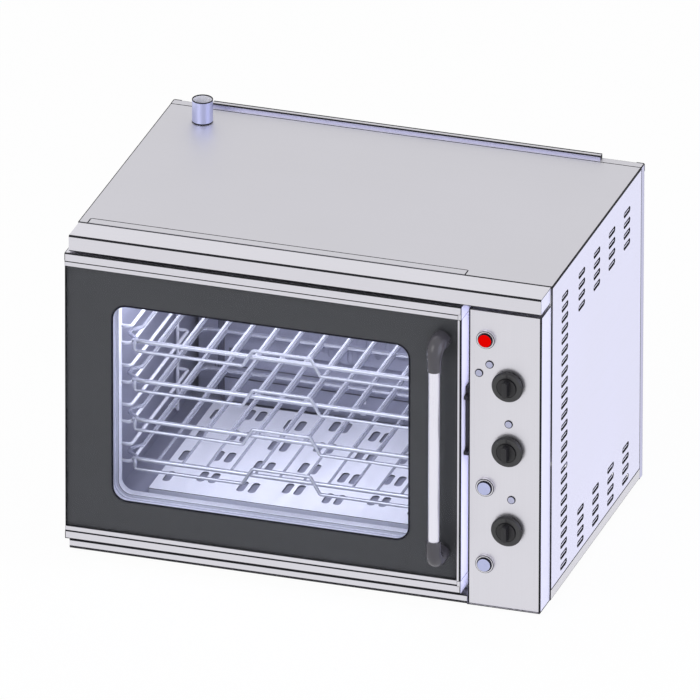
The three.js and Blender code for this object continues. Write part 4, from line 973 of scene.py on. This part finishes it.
def make_baffle():
    soup = Soup()
    x0, x1 = CAVITY.x0 + BAFFLE.inset, CAVITY.x1 - BAFFLE.inset
    z0, z1 = baffle_box.z0, baffle_box.z1
    plane = CAVITY.y1 - BAFFLE.back
    rear = plane + SHEET.thickness
    core, back = plane + HALF_SHEET, plane + BAFFLE.offset + HALF_SHEET
    slope_end = BAFFLE.flange + BAFFLE.slope
    inner = slope_end + 2 * BAFFLE.lap
    for side, start in ((1, x0), (-1, x1)):
        places = ((0, back), (BAFFLE.flange, back), (slope_end, core), (inner, core))
        soup.fold([(start + side * reach, y) for reach, y in places], "z", z0, z1, BAFFLE.bend)
    slots = []
    for k in range(INTAKE_SLOTS):
        shift = (k - (INTAKE_SLOTS - 1) / 2) * BAFFLE.pitch
        length = 2 * math.sqrt(BAFFLE.radius ** 2 - shift ** 2)
        slots.append(oblong(CAVITY.x + shift, CAVITY.z, length, BAFFLE.slot, True))
    low, high = z0 + BAFFLE.groove_low, z0 + BAFFLE.groove_high
    wide0, wide1 = x0 + inner, x1 - inner
    upper = rectangle(wide0, high, wide1, z1)
    soup.plate(upper, slots, "y", plane, rear, outer_rim=SHEET.fine, side=FACE)
    soup.plate(rectangle(wide0, z0, wide1, low), [], "y", plane, rear, outer_rim=SHEET.fine)
    # A dark grey strip under the groove: a painted shade line.
    soup.prism(rectangle(plane - SHEET.fine, low - SHEET.line, plane, low), "x", wide0, wide1, EDGE)
    arc = []
    for k in range(GROOVE_STEPS + 1):
        share = k / GROOVE_STEPS
        depth = BAFFLE.groove_depth * math.sin(share * math.pi) ** (1 / 2)
        arc.append(Vector((core + depth, high + (low - high) * share)))
    soup.prism(sheet_section(arc, 0)[0], "x", wide0, wide1, FACE)
    bead0, bead1 = x0 + BAFFLE.flange + BAFFLE.bead, x1 - BAFFLE.flange - BAFFLE.bead
    bead_low = z0 + BAFFLE.bead_low
    turn = bead_low + BAFFLE.bead_corner
    corners = [(bead0, turn), (bead0, bead_low), (bead1, bead_low), (bead1, turn)]
    path = fillet(corners, BAFFLE.bead_corner, CORNER_STEPS)[0]
    # The bead takes the dark grey finish: a painted shade line along the lower panel.
    soup.tube([(p.x, plane, p.y) for p in path[1:-1]], BAFFLE.bead, mark=EDGE, cap=EDGE)
    half = BAFFLE.tab / 2
    for side in (-1, 1):
        for row in (0, 1):
            x = CAVITY.x + side * BAFFLE.tab_pitch_x / 2
            z = z0 + BAFFLE.tab_low + row * BAFFLE.tab_pitch_z
            tab = rectangle(x - half, z - half, x + half, z + half)
            face = plane - BAFFLE.tab_height
            # The tabs take the near-white wire finish: painted light.
            soup.plate(tab, [], "y", face, core, SHEET.edge / 2, mark=SIDE, side=SIDE)
    mesh = circle(CAVITY.x, CAVITY.z, BAFFLE.radius + BAFFLE.lap, ROUND_STEPS)
    soup.plate(mesh, [], "y", rear, rear + SHEET.edge * 2, SHEET.fine)
    shown("fan_baffle_folded", soup, "casing", (lining, shade_line_grey, chrome_painted_light), "lining", "fan_baffle")


PLATE_SLOT = sizes(width=10, length=33, pair_gap=17, first=45.6, last=42.5, stagger=13.5, outer_shift=8.5,
                   corner=2.5)
PLATE_PITCH_SHARE = 0.16033
PLATE_ROWS = 4
PLATE_SIDE_COLUMNS = 3


def make_floor_plate():
    soup = Soup()
    x0, x1, y0, y1 = plate_box.x0, plate_box.x1, plate_box.y0, plate_box.y1
    pitch_x = (x1 - x0) * PLATE_PITCH_SHARE
    pitch_y = (y1 - y0 - PLATE_SLOT.first - PLATE_SLOT.last) / (PLATE_ROWS - 1)
    slots = []
    for column in range(-PLATE_SIDE_COLUMNS, PLATE_SIDE_COLUMNS + 1):
        x = CAVITY.x + column * pitch_x
        first = y0 + PLATE_SLOT.first + (PLATE_SLOT.stagger if column % 2 == 0 else 0)
        outer = abs(column) == PLATE_SIDE_COLUMNS
        inward = -math.copysign(PLATE_SLOT.outer_shift, column)
        places = [x + inward] if outer else [x - PLATE_SLOT.pair_gap / 2, x + PLATE_SLOT.pair_gap / 2]
        for row in range(PLATE_ROWS):
            for place in places:
                slots.append(oblong(place, first + row * pitch_y, PLATE_SLOT.length, PLATE_SLOT.width, True))
    outline = plate_box.outline("z", 0, PLATE_SLOT.corner)
    t = SHEET.thickness
    soup.plate(outline, slots, "z", plate_box.z1 - t, plate_box.z1)
    inner = plate_box.outline("z", t, PLATE_SLOT.corner - t)
    soup.plate(outline, [inner], "z", plate_box.z0, plate_box.z1 - t, side=FACE)
    # A lining-coloured sheet just under the plate fills the slots with a lit grey instead of the shade below:
    # painted light.
    slot_fill_top = plate_box.z1 - 2 * t
    soup.plate(inner, [], "z", slot_fill_top - t, slot_fill_top, SHEET.fine, mark=SIDE, side=SIDE)
    finishes = (plate_steel, shade_line_grey, lining)
    shown("floor_plate_folded", soup, "casing", finishes, "bright_steel", "floor_plate")


LADDER = sizes(radius=2.5, rod=6, runner=22, guard=26.5, stud=4, bend=6, rack_gap=0.3, wire=2.5, back=113,
               front=27, bottom=12, top=8)


RACK = sizes(
    side=24, front=27, back=55, bar=3.4, wire=2, frame=2.5, corner=12, loop_out=12, loop_start=34,
    loop_straight=12, loop_slope=14, dip_forward=4.5, dip_inset=4.9, drop=13.4, hump_rise=11.7,
    hump_half_top=42.5, hump_half_base=57.4, hump_shift=5.4, bend=4,
)
RACK_FIRST_SHARE = 0.16404
RACK_PITCH_SHARE = 0.17924
RACK_CROSS_SHARE = 0.08295
RACK_WIRES = 11
RACKS = 4
RACK_HEIGHTS = [
    CAVITY.z0 + (CAVITY.z1 - CAVITY.z0) * (RACK_FIRST_SHARE + k * RACK_PITCH_SHARE) for k in range(RACKS)
]


def make_ladders():
    for side, name in ((1, "left"), (-1, "right")):
        wall = CAVITY.x0 if side > 0 else CAVITY.x1
        rod_x = wall + side * LADDER.rod
        runner_x = wall + side * LADDER.runner
        stud_x = wall + side * LADDER.rack_gap
        front = ORIGIN.y + LADDER.front
        back = CAVITY.y1 - LADDER.back
        bottom = CAVITY.z0 + LADDER.bottom
        top = CAVITY.z1 - LADDER.top
        soup = Soup()
        for y in (front, back):
            soup.tube([(rod_x, y, bottom), (rod_x, y, top)], LADDER.radius)
            for z in (bottom + LADDER.stud, top - LADDER.stud):
                soup.tube([(stud_x, y, z), (rod_x, y, z)], LADDER.radius)
        for plane in RACK_HEIGHTS:
            support = plane - LADDER.wire - LADDER.rack_gap - LADDER.radius
            for z in (support, support + LADDER.guard):
                corners = [(rod_x, front, z), (runner_x, front, z), (runner_x, back, z), (rod_x, back, z)]
                soup.tube(fillet(corners, LADDER.bend, CORNER_STEPS)[0], LADDER.radius)
        # The wires take the near-white wire finish: painted light.
        shown(f"{name}_ladder_wires", soup, "casing", (chrome_painted_light,), "chrome_wire", f"{name}_rack_ladder")


def make_racks():
    for k, plane in enumerate(RACK_HEIGHTS):
        left, right = CAVITY.x0 + RACK.side, CAVITY.x1 - RACK.side
        front = ORIGIN.y + RACK.front
        back = CAVITY.y1 - RACK.back
        low = plane - RACK.drop
        dip = front - RACK.dip_forward
        start = ORIGIN.y + RACK.loop_start
        loop_back = start + 2 * RACK.loop_slope + RACK.loop_straight
        hump = CAVITY.x + RACK.hump_shift

        def side_points(side, edge):
            out = edge - side * RACK.loop_out
            inner = edge + side * RACK.dip_inset
            return [
                (edge, back, plane),
                (edge, loop_back, plane),
                (out, loop_back - RACK.loop_slope, plane),
                (out, start + RACK.loop_slope, plane),
                (inner, start, plane),
                (inner, dip, plane),
                (inner, dip, low),
                (hump - side * RACK.hump_half_base, dip, low),
                (hump - side * RACK.hump_half_top, dip, plane + RACK.hump_rise),
            ]

        half = side_points(1, left)
        other = side_points(-1, right)[::-1]
        path = [(CAVITY.x, back, plane)] + half + other + [(CAVITY.x, back, plane)]
        radii = [RACK.bend] * len(path)
        radii[1] = radii[-2] = RACK.corner
        soup = Soup()
        soup.tube(fillet(path, radii, CORNER_STEPS)[0], RACK.frame, PIN_STEPS)
        soup.tube([(left, front, plane), (right, front, plane)], RACK.bar, PIN_STEPS)
        inset = RACK.corner / 2
        soup.tube([(left + inset, back, plane), (right - inset, back, plane)], RACK.bar, PIN_STEPS)
        pitch = (right - left) * RACK_CROSS_SHARE
        for wire in range(RACK_WIRES):
            x = CAVITY.x + (wire - (RACK_WIRES - 1) / 2) * pitch
            soup.tube([(x, front, plane), (x, back, plane)], RACK.wire, PIN_STEPS)
        name = f"rack_{k + 1}"
        shown(name + "_wires", soup, name, (rack_chrome,), "chrome_wire", name)


HEATER = sizes(radius=106, tube=4, forward=20, leg_gap=22)
HEATER_STEPS = 72


def make_heater():
    box = box_of("ring_heater")
    y = CAVITY.y1 - HEATER.forward
    opening = math.asin(HEATER.leg_gap / 2 / HEATER.radius)
    ring = []
    for k in range(HEATER_STEPS + 1):
        angle = -QUARTER - opening - k / HEATER_STEPS * 2 * (math.pi - opening)
        x, z = CAVITY.x + HEATER.radius * math.cos(angle), CAVITY.z + HEATER.radius * math.sin(angle)
        ring.append((x, y, z))
    first = (ring[0][0], box.y1, ring[0][2])
    last = (ring[-1][0], box.y1, ring[-1][2])
    soup = Soup()
    soup.tube([first] + ring + [last], HEATER.tube, TUBE_RING // 2)
    shown("ring_heater_tube", soup, "casing", (heater_metal,), "heater_metal", "ring_heater")


FAN = sizes(disc=2, hub=13, shaft=5, blade_inner=42, blade=1.4, lean=9, ease=1, behind=5)
FAN_BLADES = 10
BLADE_STEPS = 6


def make_fan():
    box = box_of("fan_wheel")
    radius = box.radius
    front = box.y0
    back = CAVITY.y1 - FAN.behind
    seat = back - FAN.disc / 2
    root = front + FAN.disc
    soup = Soup()
    centre = (CAVITY.x, CAVITY.z)
    soup.plate(circle(*centre, radius, ROUND_STEPS), [], "y", back - FAN.disc, back)
    hub = [(0, front), (FAN.hub, front), (FAN.hub, seat), (0, seat)]
    soup.lathe(fillet(hub, FAN.ease)[0], centre, "y")
    soup.lathe([(0, root), (FAN.shaft, root), (FAN.shaft, box.y1), (0, box.y1)], centre, "y", PIN_STEPS)
    for k in range(FAN_BLADES):
        turn = 2 * math.pi * k / FAN_BLADES
        line = []
        for step in range(BLADE_STEPS + 1):
            share = step / BLADE_STEPS
            reach = FAN.blade_inner + (radius - FAN.disc - FAN.blade_inner) * share
            angle = turn + FAN.lean / radius * math.pi * share
            line.append((CAVITY.x + reach * math.cos(angle), CAVITY.z + reach * math.sin(angle)))
        section, marks = sheet_section(line, 0, FAN.blade)
        soup.prism(section, "y", root, seat, marks)
    shown("fan_wheel_bladed", soup, "fan", (lining, shade_line_steel), "stainless", "fan_wheel")


GASKET = sizes(width=12, spread=4, bulb=5.2, base=3)


def make_gasket():
    box = box_of("door_gasket")
    width, spread = GASKET.width, GASKET.spread
    line = box.outline("y", width / 2, MOUTH.corner + spread + width / 2)
    soup = Soup()
    y = box.y0 + GASKET.bulb
    ring = [(p.x, y, p.y) for p in line]
    start = ((ring[0][0] + ring[-1][0]) / 2, y, (ring[0][2] + ring[-1][2]) / 2)
    soup.tube([start] + ring + [start], GASKET.bulb, TUBE_RING // 2)
    outer = box.outline("y", 0, MOUTH.corner + spread + width)
    inner = box.outline("y", width, MOUTH.corner + spread)
    soup.plate(outer, [inner], "y", box.y1 - GASKET.base, box.y1, side=FACE)
    shown("door_gasket_bulb", soup, "casing", (silicone,), "rubber", "door_gasket")


LENS = sizes(edge=1.2, rim=2.5)


def make_lamp_lens():
    box = box_of("lamp_lens")
    radius = (box.z1 - box.z0) / 2
    line = [
        (0, box.x0), (radius - LENS.rim, box.x0), (radius, box.x0 + LENS.rim), (radius, box.x1), (0, box.x1),
    ]
    soup = Soup()
    soup.lathe(fillet(line, LENS.edge)[0], (box.y, box.z), "x")
    shown("lamp_lens_cast", soup, "casing", (lens_glass,), "glass", "lamp_lens")


GLAND = sizes(bore=4.5, nut=13, nut_height=6, radius=10, dome=7, edge=0.8)
NUT_SIDES = 6


def make_gland():
    box = box_of("cable_gland")
    x, z = box.x, box.z
    seat = back_box.y1 + SHEET.gap
    soup = Soup()
    turns = [2 * math.pi * (k + 1 / 2) / NUT_SIDES for k in range(NUT_SIDES)]
    nut = [Vector((x + GLAND.nut * math.cos(a), z + GLAND.nut * math.sin(a))) for a in turns]
    bore = circle(x, z, GLAND.radius - GLAND.edge)
    soup.plate(nut, [bore], "y", seat, seat + GLAND.nut_height, GLAND.edge / 2, side=FACE)
    line = [
        (GLAND.bore, box.y0), (GLAND.radius, box.y0), (GLAND.radius, box.y1 - GLAND.dome),
        (GLAND.radius - GLAND.dome / 2, box.y1), (GLAND.bore, box.y1),
    ]
    profile = fillet(line, GLAND.edge, closed=True)[0]
    soup.lathe(profile, (x, z), "y", closed=True)
    shown("cable_gland_moulded", soup, "casing", (black,), "black_plastic", "cable_gland")


# Door

DOOR = sizes(stile=5.3, glass_edge=0.5, corner=20, window_margin=12, window_corner=24)
BORDER = sizes(left=70.1, right=79.4, bottom=69.4, top=74.6, ring=3)


def make_door_glass():
    for name, node in (("door_outer_pane", "door_outer_glass"), ("door_inner_pane", "door_inner_glass")):
        box = box_of(node)
        soup = Soup()
        soup.plate(box.outline("y"), [], "y", box.y0, box.y1, DOOR.glass_edge, side=FACE)
        shown(name, soup, "door", (glass,), "glass", node)
    soup = Soup()
    box = box_of("door_frit_border")
    top_rail, bottom_rail = box_of("door_top_rail"), box_of("door_bottom_rail")
    window = round_rect(
        door_box.x0 + BORDER.left, bottom_rail.z0 + BORDER.bottom,
        door_box.x1 - BORDER.right, top_rail.z1 - BORDER.top, DOOR.corner,
    )
    # The window's rim in the print takes the near-black painted shade line.
    soup.plate(box.outline("y"), [window], "y", box.y0, box.y1, SHEET.edge / 2, hole_rim=BORDER.ring)
    shown("door_border_print", soup, "door", (printed, rim_shade_line), "printed_border", "door_frit_border")


RAIL = sizes(bottom_face=11.4, bottom_lip=8, top_face=12.3, top_lip=8, step=1, line=2)


def make_door_frame():
    soup = Soup()
    top_rail, bottom_rail = box_of("door_top_rail"), box_of("door_bottom_rail")
    low = bottom_rail.z1 + SHEET.gap
    high = top_rail.z0 - SHEET.gap
    t = SHEET.thickness
    back = door_box.y1
    window = CAVITY.outline("y", MOUTH.inset - DOOR.window_margin, DOOR.window_corner)
    outline = rectangle(door_box.x0 + t + SHEET.gap, door_box.z0, door_box.x1 - t - SHEET.gap, door_box.z1)
    soup.plate(outline, [window], "y", back - t - SHEET.gap, back - SHEET.gap)
    x = door_box.x1 - HALF_SHEET
    y0, y1 = door_box.y0 + HALF_SHEET, back - HALF_SHEET
    inner = door_box.x1 - DOOR.stile
    soup.fold([(inner, y0), (x, y0), (x, y1), (inner, y1)], "z", low, high, SHEET.bend)
    # A near-black strip beside the stile stands for the shade of the gap there: a painted shade line, not a
    # seal.
    stile_shade_strip = rectangle(inner - SHEET.line, door_box.y0 + t, inner, door_box.y0 + 2 * t)
    soup.prism(stile_shade_strip, "z", low, high, EDGE)
    # The door's left wall takes the near-black finish: painted shade along the door's left edge.
    wall = rectangle(door_box.x0, glass_box.y0, door_box.x0 + t, back)
    soup.prism(wall, "z", low, high, EDGE)
    tie = rectangle(door_box.x0, back - t, door_box.x0 + 2 * t + SHEET.gap, back)
    soup.prism(tie, "z", low, high)
    # Faces that look sideways take the pale copy of the steel: painted light on the stile's side in the gap.
    soup.mark_facing_light_and_shade("x")
    shown("door_frame_folded", soup, "door", DOOR_STEELS, "stainless", "door_frame")


def make_door_rail(node, edge, face, lip, inward):
    """A rail round the door's top or bottom edge, closed at both ends, with a lip on the glass."""
    box = box_of(node)
    soup = Soup()
    t = SHEET.thickness
    y0, y1 = box.y0 + HALF_SHEET, box.y1 - HALF_SHEET
    face_end = edge + inward * face
    lip_end = face_end + inward * lip
    z = edge + inward * HALF_SHEET
    line = [(y1, face_end), (y1, z), (y0, z), (y0, face_end)]
    soup.fold(line, "x", box.x0 + t, box.x1 - t, SHEET.tight)
    lip_y = box.y0 + RAIL.step + HALF_SHEET
    lip_right = box.x1 - DOOR.stile - SHEET.gap
    lip_low, lip_high = sorted((face_end - inward * t, lip_end))
    section = rectangle(lip_y - HALF_SHEET, lip_low, lip_y + HALF_SHEET, lip_high)
    soup.prism(section, "x", box.x0, lip_right)
    # A near-black strip laid on the rail's face beside the lip: a painted shade line.
    low, high = sorted((face_end, face_end + inward * RAIL.line))
    soup.prism(rectangle(box.y0 + RAIL.step - SHEET.fine, low, lip_y, high), "x", box.x0, lip_right, EDGE)
    low, high = sorted((edge, face_end))
    for end in (box.x0, box.x1 - t):
        outline = round_rect(box.y0, low, box.y1, high, SHEET.tight)
        soup.plate(outline, [], "x", end, end + t)
    flap = rectangle(box.x1 - DOOR.stile, lip_low, box.x1, lip_high)
    soup.plate(flap, [], "y", box.y0, box.y0 + t)
    soup.plate(rectangle(box.y0, lip_low, box.y1, lip_high), [], "x", box.x1 - t, box.x1)
    soup.plate(rectangle(box.y0 + RAIL.step, lip_low, box.y1, lip_high), [], "x", box.x0, box.x0 + t)
    # Faces that look sideways take the pale copy of the steel: painted light.
    soup.mark_facing_light_and_shade("x")
    shown(node + "_folded", soup, "door", DOOR_STEELS, "stainless", node)


HANDLE = sizes(base=14, elbow=10.4, bend=16, foot=3, ease=1.2)
ELBOW_STEPS = 24


def make_handle():
    box = box_of("handle_tube")
    x, y = box.x, box.y
    soup = Soup()
    soup.tube([(x, y, box.z0), (x, y, box.z1)], box.radius, ROUND_STEPS)
    shown("handle_tube_drawn", soup, "door", (handle_steel,), "bright_steel", "handle_tube")
    for name, inward in (("lower", 1), ("upper", -1)):
        node = f"handle_{name}_elbow"
        elbow = box_of(node)
        outer, end = (elbow.z0, elbow.z1)[::inward]
        base_z = outer + inward * HANDLE.base
        path = [(x, elbow.y1, base_z), (x, elbow.y1 - HANDLE.foot, base_z)]
        radii = [HANDLE.base, HANDLE.base]
        for k in range(ELBOW_STEPS + 1):
            share = k / ELBOW_STEPS
            angle = share * QUARTER
            path.append((
                x,
                y + HANDLE.bend * (1 - math.sin(angle)),
                base_z + inward * HANDLE.bend * (1 - math.cos(angle)),
            ))
            radii.append(HANDLE.base + (HANDLE.elbow - HANDLE.base) * share)
        path += [(x, y, end - inward * HANDLE.ease), (x, y, end)]
        radii += [HANDLE.elbow, HANDLE.elbow - HANDLE.ease / 2]
        soup = Soup()
        soup.tube(path, radii, TUBE_RING, up=(1, 0, 0))
        shown(node + "_moulded", soup, "door", (dark,), "dark_handle", node)


CATCH = sizes(lug=8, lug_height=6, lug_inset=4, nose=14, ease=1.2, groove=0.8)


def make_catch():
    box = box_of("door_catch")
    soup = Soup()
    front = box.y0 + CATCH.lug
    outline = round_rect(front, box.z0, box.y1, box.z1, CATCH.ease)
    soup.plate(outline, [], "x", box.x0, box.x1, CATCH.groove, side=FACE)
    for z in (box.z0 + CATCH.lug_inset, box.z1 - CATCH.lug_inset - CATCH.nose):
        lug = round_rect(box.y0, z, front + 2 * CATCH.ease, z + CATCH.lug_height, CATCH.ease)
        soup.plate(lug, [], "x", box.x0, box.x1, CATCH.groove, side=FACE)
    shown("door_catch_moulded", soup, "door", (black,), "black_plastic", "door_catch")
    box = box_of("catch_keeper")
    soup = Soup()
    soup.plate(box.outline("x", 0, CATCH.ease), [], "x", box.x0, box.x1, CATCH.groove, side=FACE)
    shown("catch_keeper_moulded", soup, "casing", (black,), "black_plastic", "catch_keeper")


HINGE = sizes(plate=3, pin=4, leg=7, clear=4, edge=0.5, corner=4, engage=14)


def make_hinges():
    for name in ("upper", "lower"):
        node = f"{name}_hinge_bracket"
        box = box_of(node)
        outward = 1 if name == "upper" else -1
        rail = box_of("door_top_rail" if outward > 0 else "door_bottom_rail")
        edge = rail.z1 if outward > 0 else rail.z0
        near = edge + outward * HINGE.clear
        far = near + outward * HINGE.plate
        leg_end = near + outward * HINGE.leg
        soup = Soup()
        outline = fillet(
            [(box.x0, box.y0), (box.x1, box.y0), (box.x1, box.y1), (box.x0, box.y1)],
            [HINGE.corner, HINGE.corner, 0, 0], CORNER_STEPS, closed=True,
        )[0]
        soup.plate(outline, [], "z", min(near, far), max(near, far), HINGE.edge)
        low, high = sorted((near, leg_end))
        soup.plate(rectangle(box.x0, low, box.x1, high), [], "y", box.y1 - HINGE.plate, box.y1, HINGE.edge)
        joint = next(j for j in frame["joints"] if j["name"] == "door_hinge")
        pin_x, pin_y = joint["pos_m"][:2]
        tip = edge - outward * HINGE.engage
        low, high = sorted((far, tip))
        pin = fillet([(0, low), (HINGE.pin, low), (HINGE.pin, high), (0, high)], HINGE.edge)[0]
        soup.lathe(pin, (pin_x, pin_y), "z", PIN_STEPS)
        shown(node + "_pressed", soup, "casing", STEEL_PAIR, "stainless", node)


# Controls

KNOBS = ("temperature", "timer", "function")
BUTTONS = ("power", "light", "steam")
PILOTS = 4
FASCIA = sizes(strip=9, bush=5.3, barrel=12.5, stem=5)
KNOB = sizes(skirt=8, stand_off=1.5, rim=5, taper=2, boss=13.5, boss_height=1.5, grip=9.5, grip_height=12,
             ease=1.1, stem=3, groove=0.9, tick=1.3, tick_rise=0.15, waist=1.6)
BEZEL = sizes(height=5, barrel=12.2, wall=1.6, plunger=8.6, head=10, ease=0.9)
BUTTON = sizes(head_height=3.8, crown=0.2, dome=0.8, turn=2.4, ease=0.6)
PILOT = sizes(crown=0.2, shoulder=0.4, side=0.8, stem=4.7, ease=0.3, rim=1.1)
GRIP_CORNER_SHARE = 0.7
GRIP_TOP_SHARE = 0.6


def rim_marks(profile, reach):
    """Marks the sides of a turned profile that start beyond a reach as its edge, which takes the near-black
    painted shade line.
    """
    return [EDGE if point.x >= reach else FACE for point in profile[:-1]]


def make_knob(name):
    node = "knob_" + name
    box = box_of(node)
    x, z = box.x, box.z
    radius = box.radius
    back = control_box.y0 - KNOB.stand_off
    face = back - KNOB.skirt
    ring = face - KNOB.boss_height
    front = face - KNOB.grip_height
    soup = Soup()
    waist = KNOB.boss + KNOB.waist
    narrow = radius - KNOB.taper
    line = [
        (0, back), (narrow, back), (radius, back - KNOB.rim), (narrow, face), (waist, face),
        (waist, face + KNOB.groove), (KNOB.boss, face + KNOB.groove), (KNOB.boss, ring), (0, ring),
    ]
    marks = [FACE, FACE, FACE, EDGE, FACE, FACE, FACE, FACE]
    soup.lathe(line, (x, z), "y", marks=marks)
    half = KNOB.grip / 2
    reach = math.sqrt(KNOB.boss ** 2 - half ** 2)
    outline = round_rect(x - half, z - reach, x + half, z + reach, half * GRIP_CORNER_SHARE)
    slim_half, slim_reach = half - KNOB.ease, reach - KNOB.ease
    slim = round_rect(x - slim_half, z - slim_reach, x + slim_half, z + slim_reach, half * GRIP_TOP_SHARE)
    levels = [(ring + KNOB.ease, outline), (front + 2 * KNOB.ease, slim), (front + KNOB.ease / 2, slim),
              (front, offset_line(turned(slim, True), KNOB.ease, True))]
    soup.loft([[(p.x, t, p.y) for p in line] for t, line in levels])
    stem = [(0, face), (KNOB.stem, face), (KNOB.stem, box.y1), (0, box.y1)]
    soup.lathe(stem, (x, z), "y", PIN_STEPS)
    tick = rectangle(x - KNOB.tick, z + waist, x + KNOB.tick, z + narrow)
    soup.plate(tick, [], "y", face - KNOB.tick_rise, face + KNOB.ease, SHEET.fine, side=FACE)
    shown(node + "_moulded", soup, node, (black, skirt_grey), "black_plastic", node)


def make_button(name, finish, slot):
    bezel_node = "button_bezel_" + name
    box = box_of(bezel_node)
    x, z = box.x, box.z
    radius = box.radius
    seat = box.y0 + BEZEL.height
    soup = Soup()
    line = [
        (BEZEL.head + SHEET.gap, box.y0), (radius, box.y0), (radius, seat), (BEZEL.barrel, seat),
        (BEZEL.barrel, box.y1), (BEZEL.plunger + SHEET.gap, box.y1),
        (BEZEL.plunger + SHEET.gap, seat - BEZEL.wall), (BEZEL.head + SHEET.gap, seat - BEZEL.wall),
    ]
    radii = [BEZEL.ease, BEZEL.ease, 0, 0, 0, 0, 0, 0]
    profile, bent = fillet(line, radii, closed=True)
    # The bezel's eased bends take the near-black painted shade line.
    marks = [EDGE if fold else FACE for fold in bent]
    soup.lathe(profile, (x, z), "y", marks=marks, closed=True)
    shown(bezel_node + "_turned", soup, "casing", (steel, rim_shade_line), "lining", bezel_node)
    node = "button_" + name
    box = box_of(node)
    radius = box.radius
    soup = Soup()
    head = box.y0 + BUTTON.head_height
    line = [
        (0, box.y0), (radius / 2, box.y0 + BUTTON.crown), (radius, box.y0 + BUTTON.dome), (radius, head),
        (BEZEL.plunger, head), (BEZEL.plunger, box.y1), (0, box.y1),
    ]
    profile = fillet(line, [0, BUTTON.turn, BUTTON.ease, 0, 0, 0, 0])[0]
    marks = rim_marks(profile, radius - BUTTON.ease)
    soup.lathe(profile, (x, z), "y", marks=marks)
    shown(node + "_moulded", soup, node, (finish, rim_shade_line), slot, node)


def make_pilot(k):
    node = f"pilot_lamp_{k + 1}"
    box = box_of(node)
    x, z = box.x, box.z
    radius = box.radius
    seat = control_box.y0 - SHEET.gap
    soup = Soup()
    line = [
        (0, box.y0), (radius / 2, box.y0 + PILOT.crown), (radius - PILOT.rim, box.y0 + PILOT.shoulder),
        (radius, box.y0 + PILOT.side), (radius, seat), (PILOT.stem, seat), (PILOT.stem, box.y1), (0, box.y1),
    ]
    profile = fillet(line, [0, 2 * PILOT.ease, 0, PILOT.ease, 0, 0, 0, 0])[0]
    marks = rim_marks(profile, radius - PILOT.rim)
    soup.lathe(profile, (x, z), "y", PIN_STEPS, marks)
    shown(node + "_moulded", soup, "casing", (lamp_cap, rim_shade_line), "lamp_plastic", node)


# The whole oven

make_base_pan()
make_side_panels()
make_back_panel()
make_top_panel()
make_visor()
make_front_frame()
make_control_panel()
make_rear_cover()
make_feet()
make_exhaust_pipe()
make_baffle()
make_floor_plate()
make_ladders()
make_racks()
make_heater()
make_fan()
make_gasket()
make_lamp_lens()
make_gland()
make_door_glass()
make_door_frame()
make_door_rail("door_bottom_rail", box_of("door_bottom_rail").z0, RAIL.bottom_face, RAIL.bottom_lip, 1)
make_door_rail("door_top_rail", box_of("door_top_rail").z1, RAIL.top_face, RAIL.top_lip, -1)
make_handle()
make_catch()
make_hinges()
for knob_name in KNOBS:
    make_knob(knob_name)
make_button("power", red, "red_plastic")
make_button("light", pale, "pale_plastic")
make_button("steam", pale, "pale_plastic")
for pilot in range(PILOTS):
    make_pilot(pilot)

# Solids whose shape is right, which keep it and take a finish of their own
KEPT = {
    "cavity_liner": lining, "cavity_insulation": wool, "fan_motor": heater_metal, "lamp_housing": steel,
    "thermostat_body": black, "timer_body": black, "selector_body": black,
}
for node, finish in KEPT.items():
    mesh = frame["nodes"][node].data
    mesh.materials.clear()
    mesh.materials.append(finish)
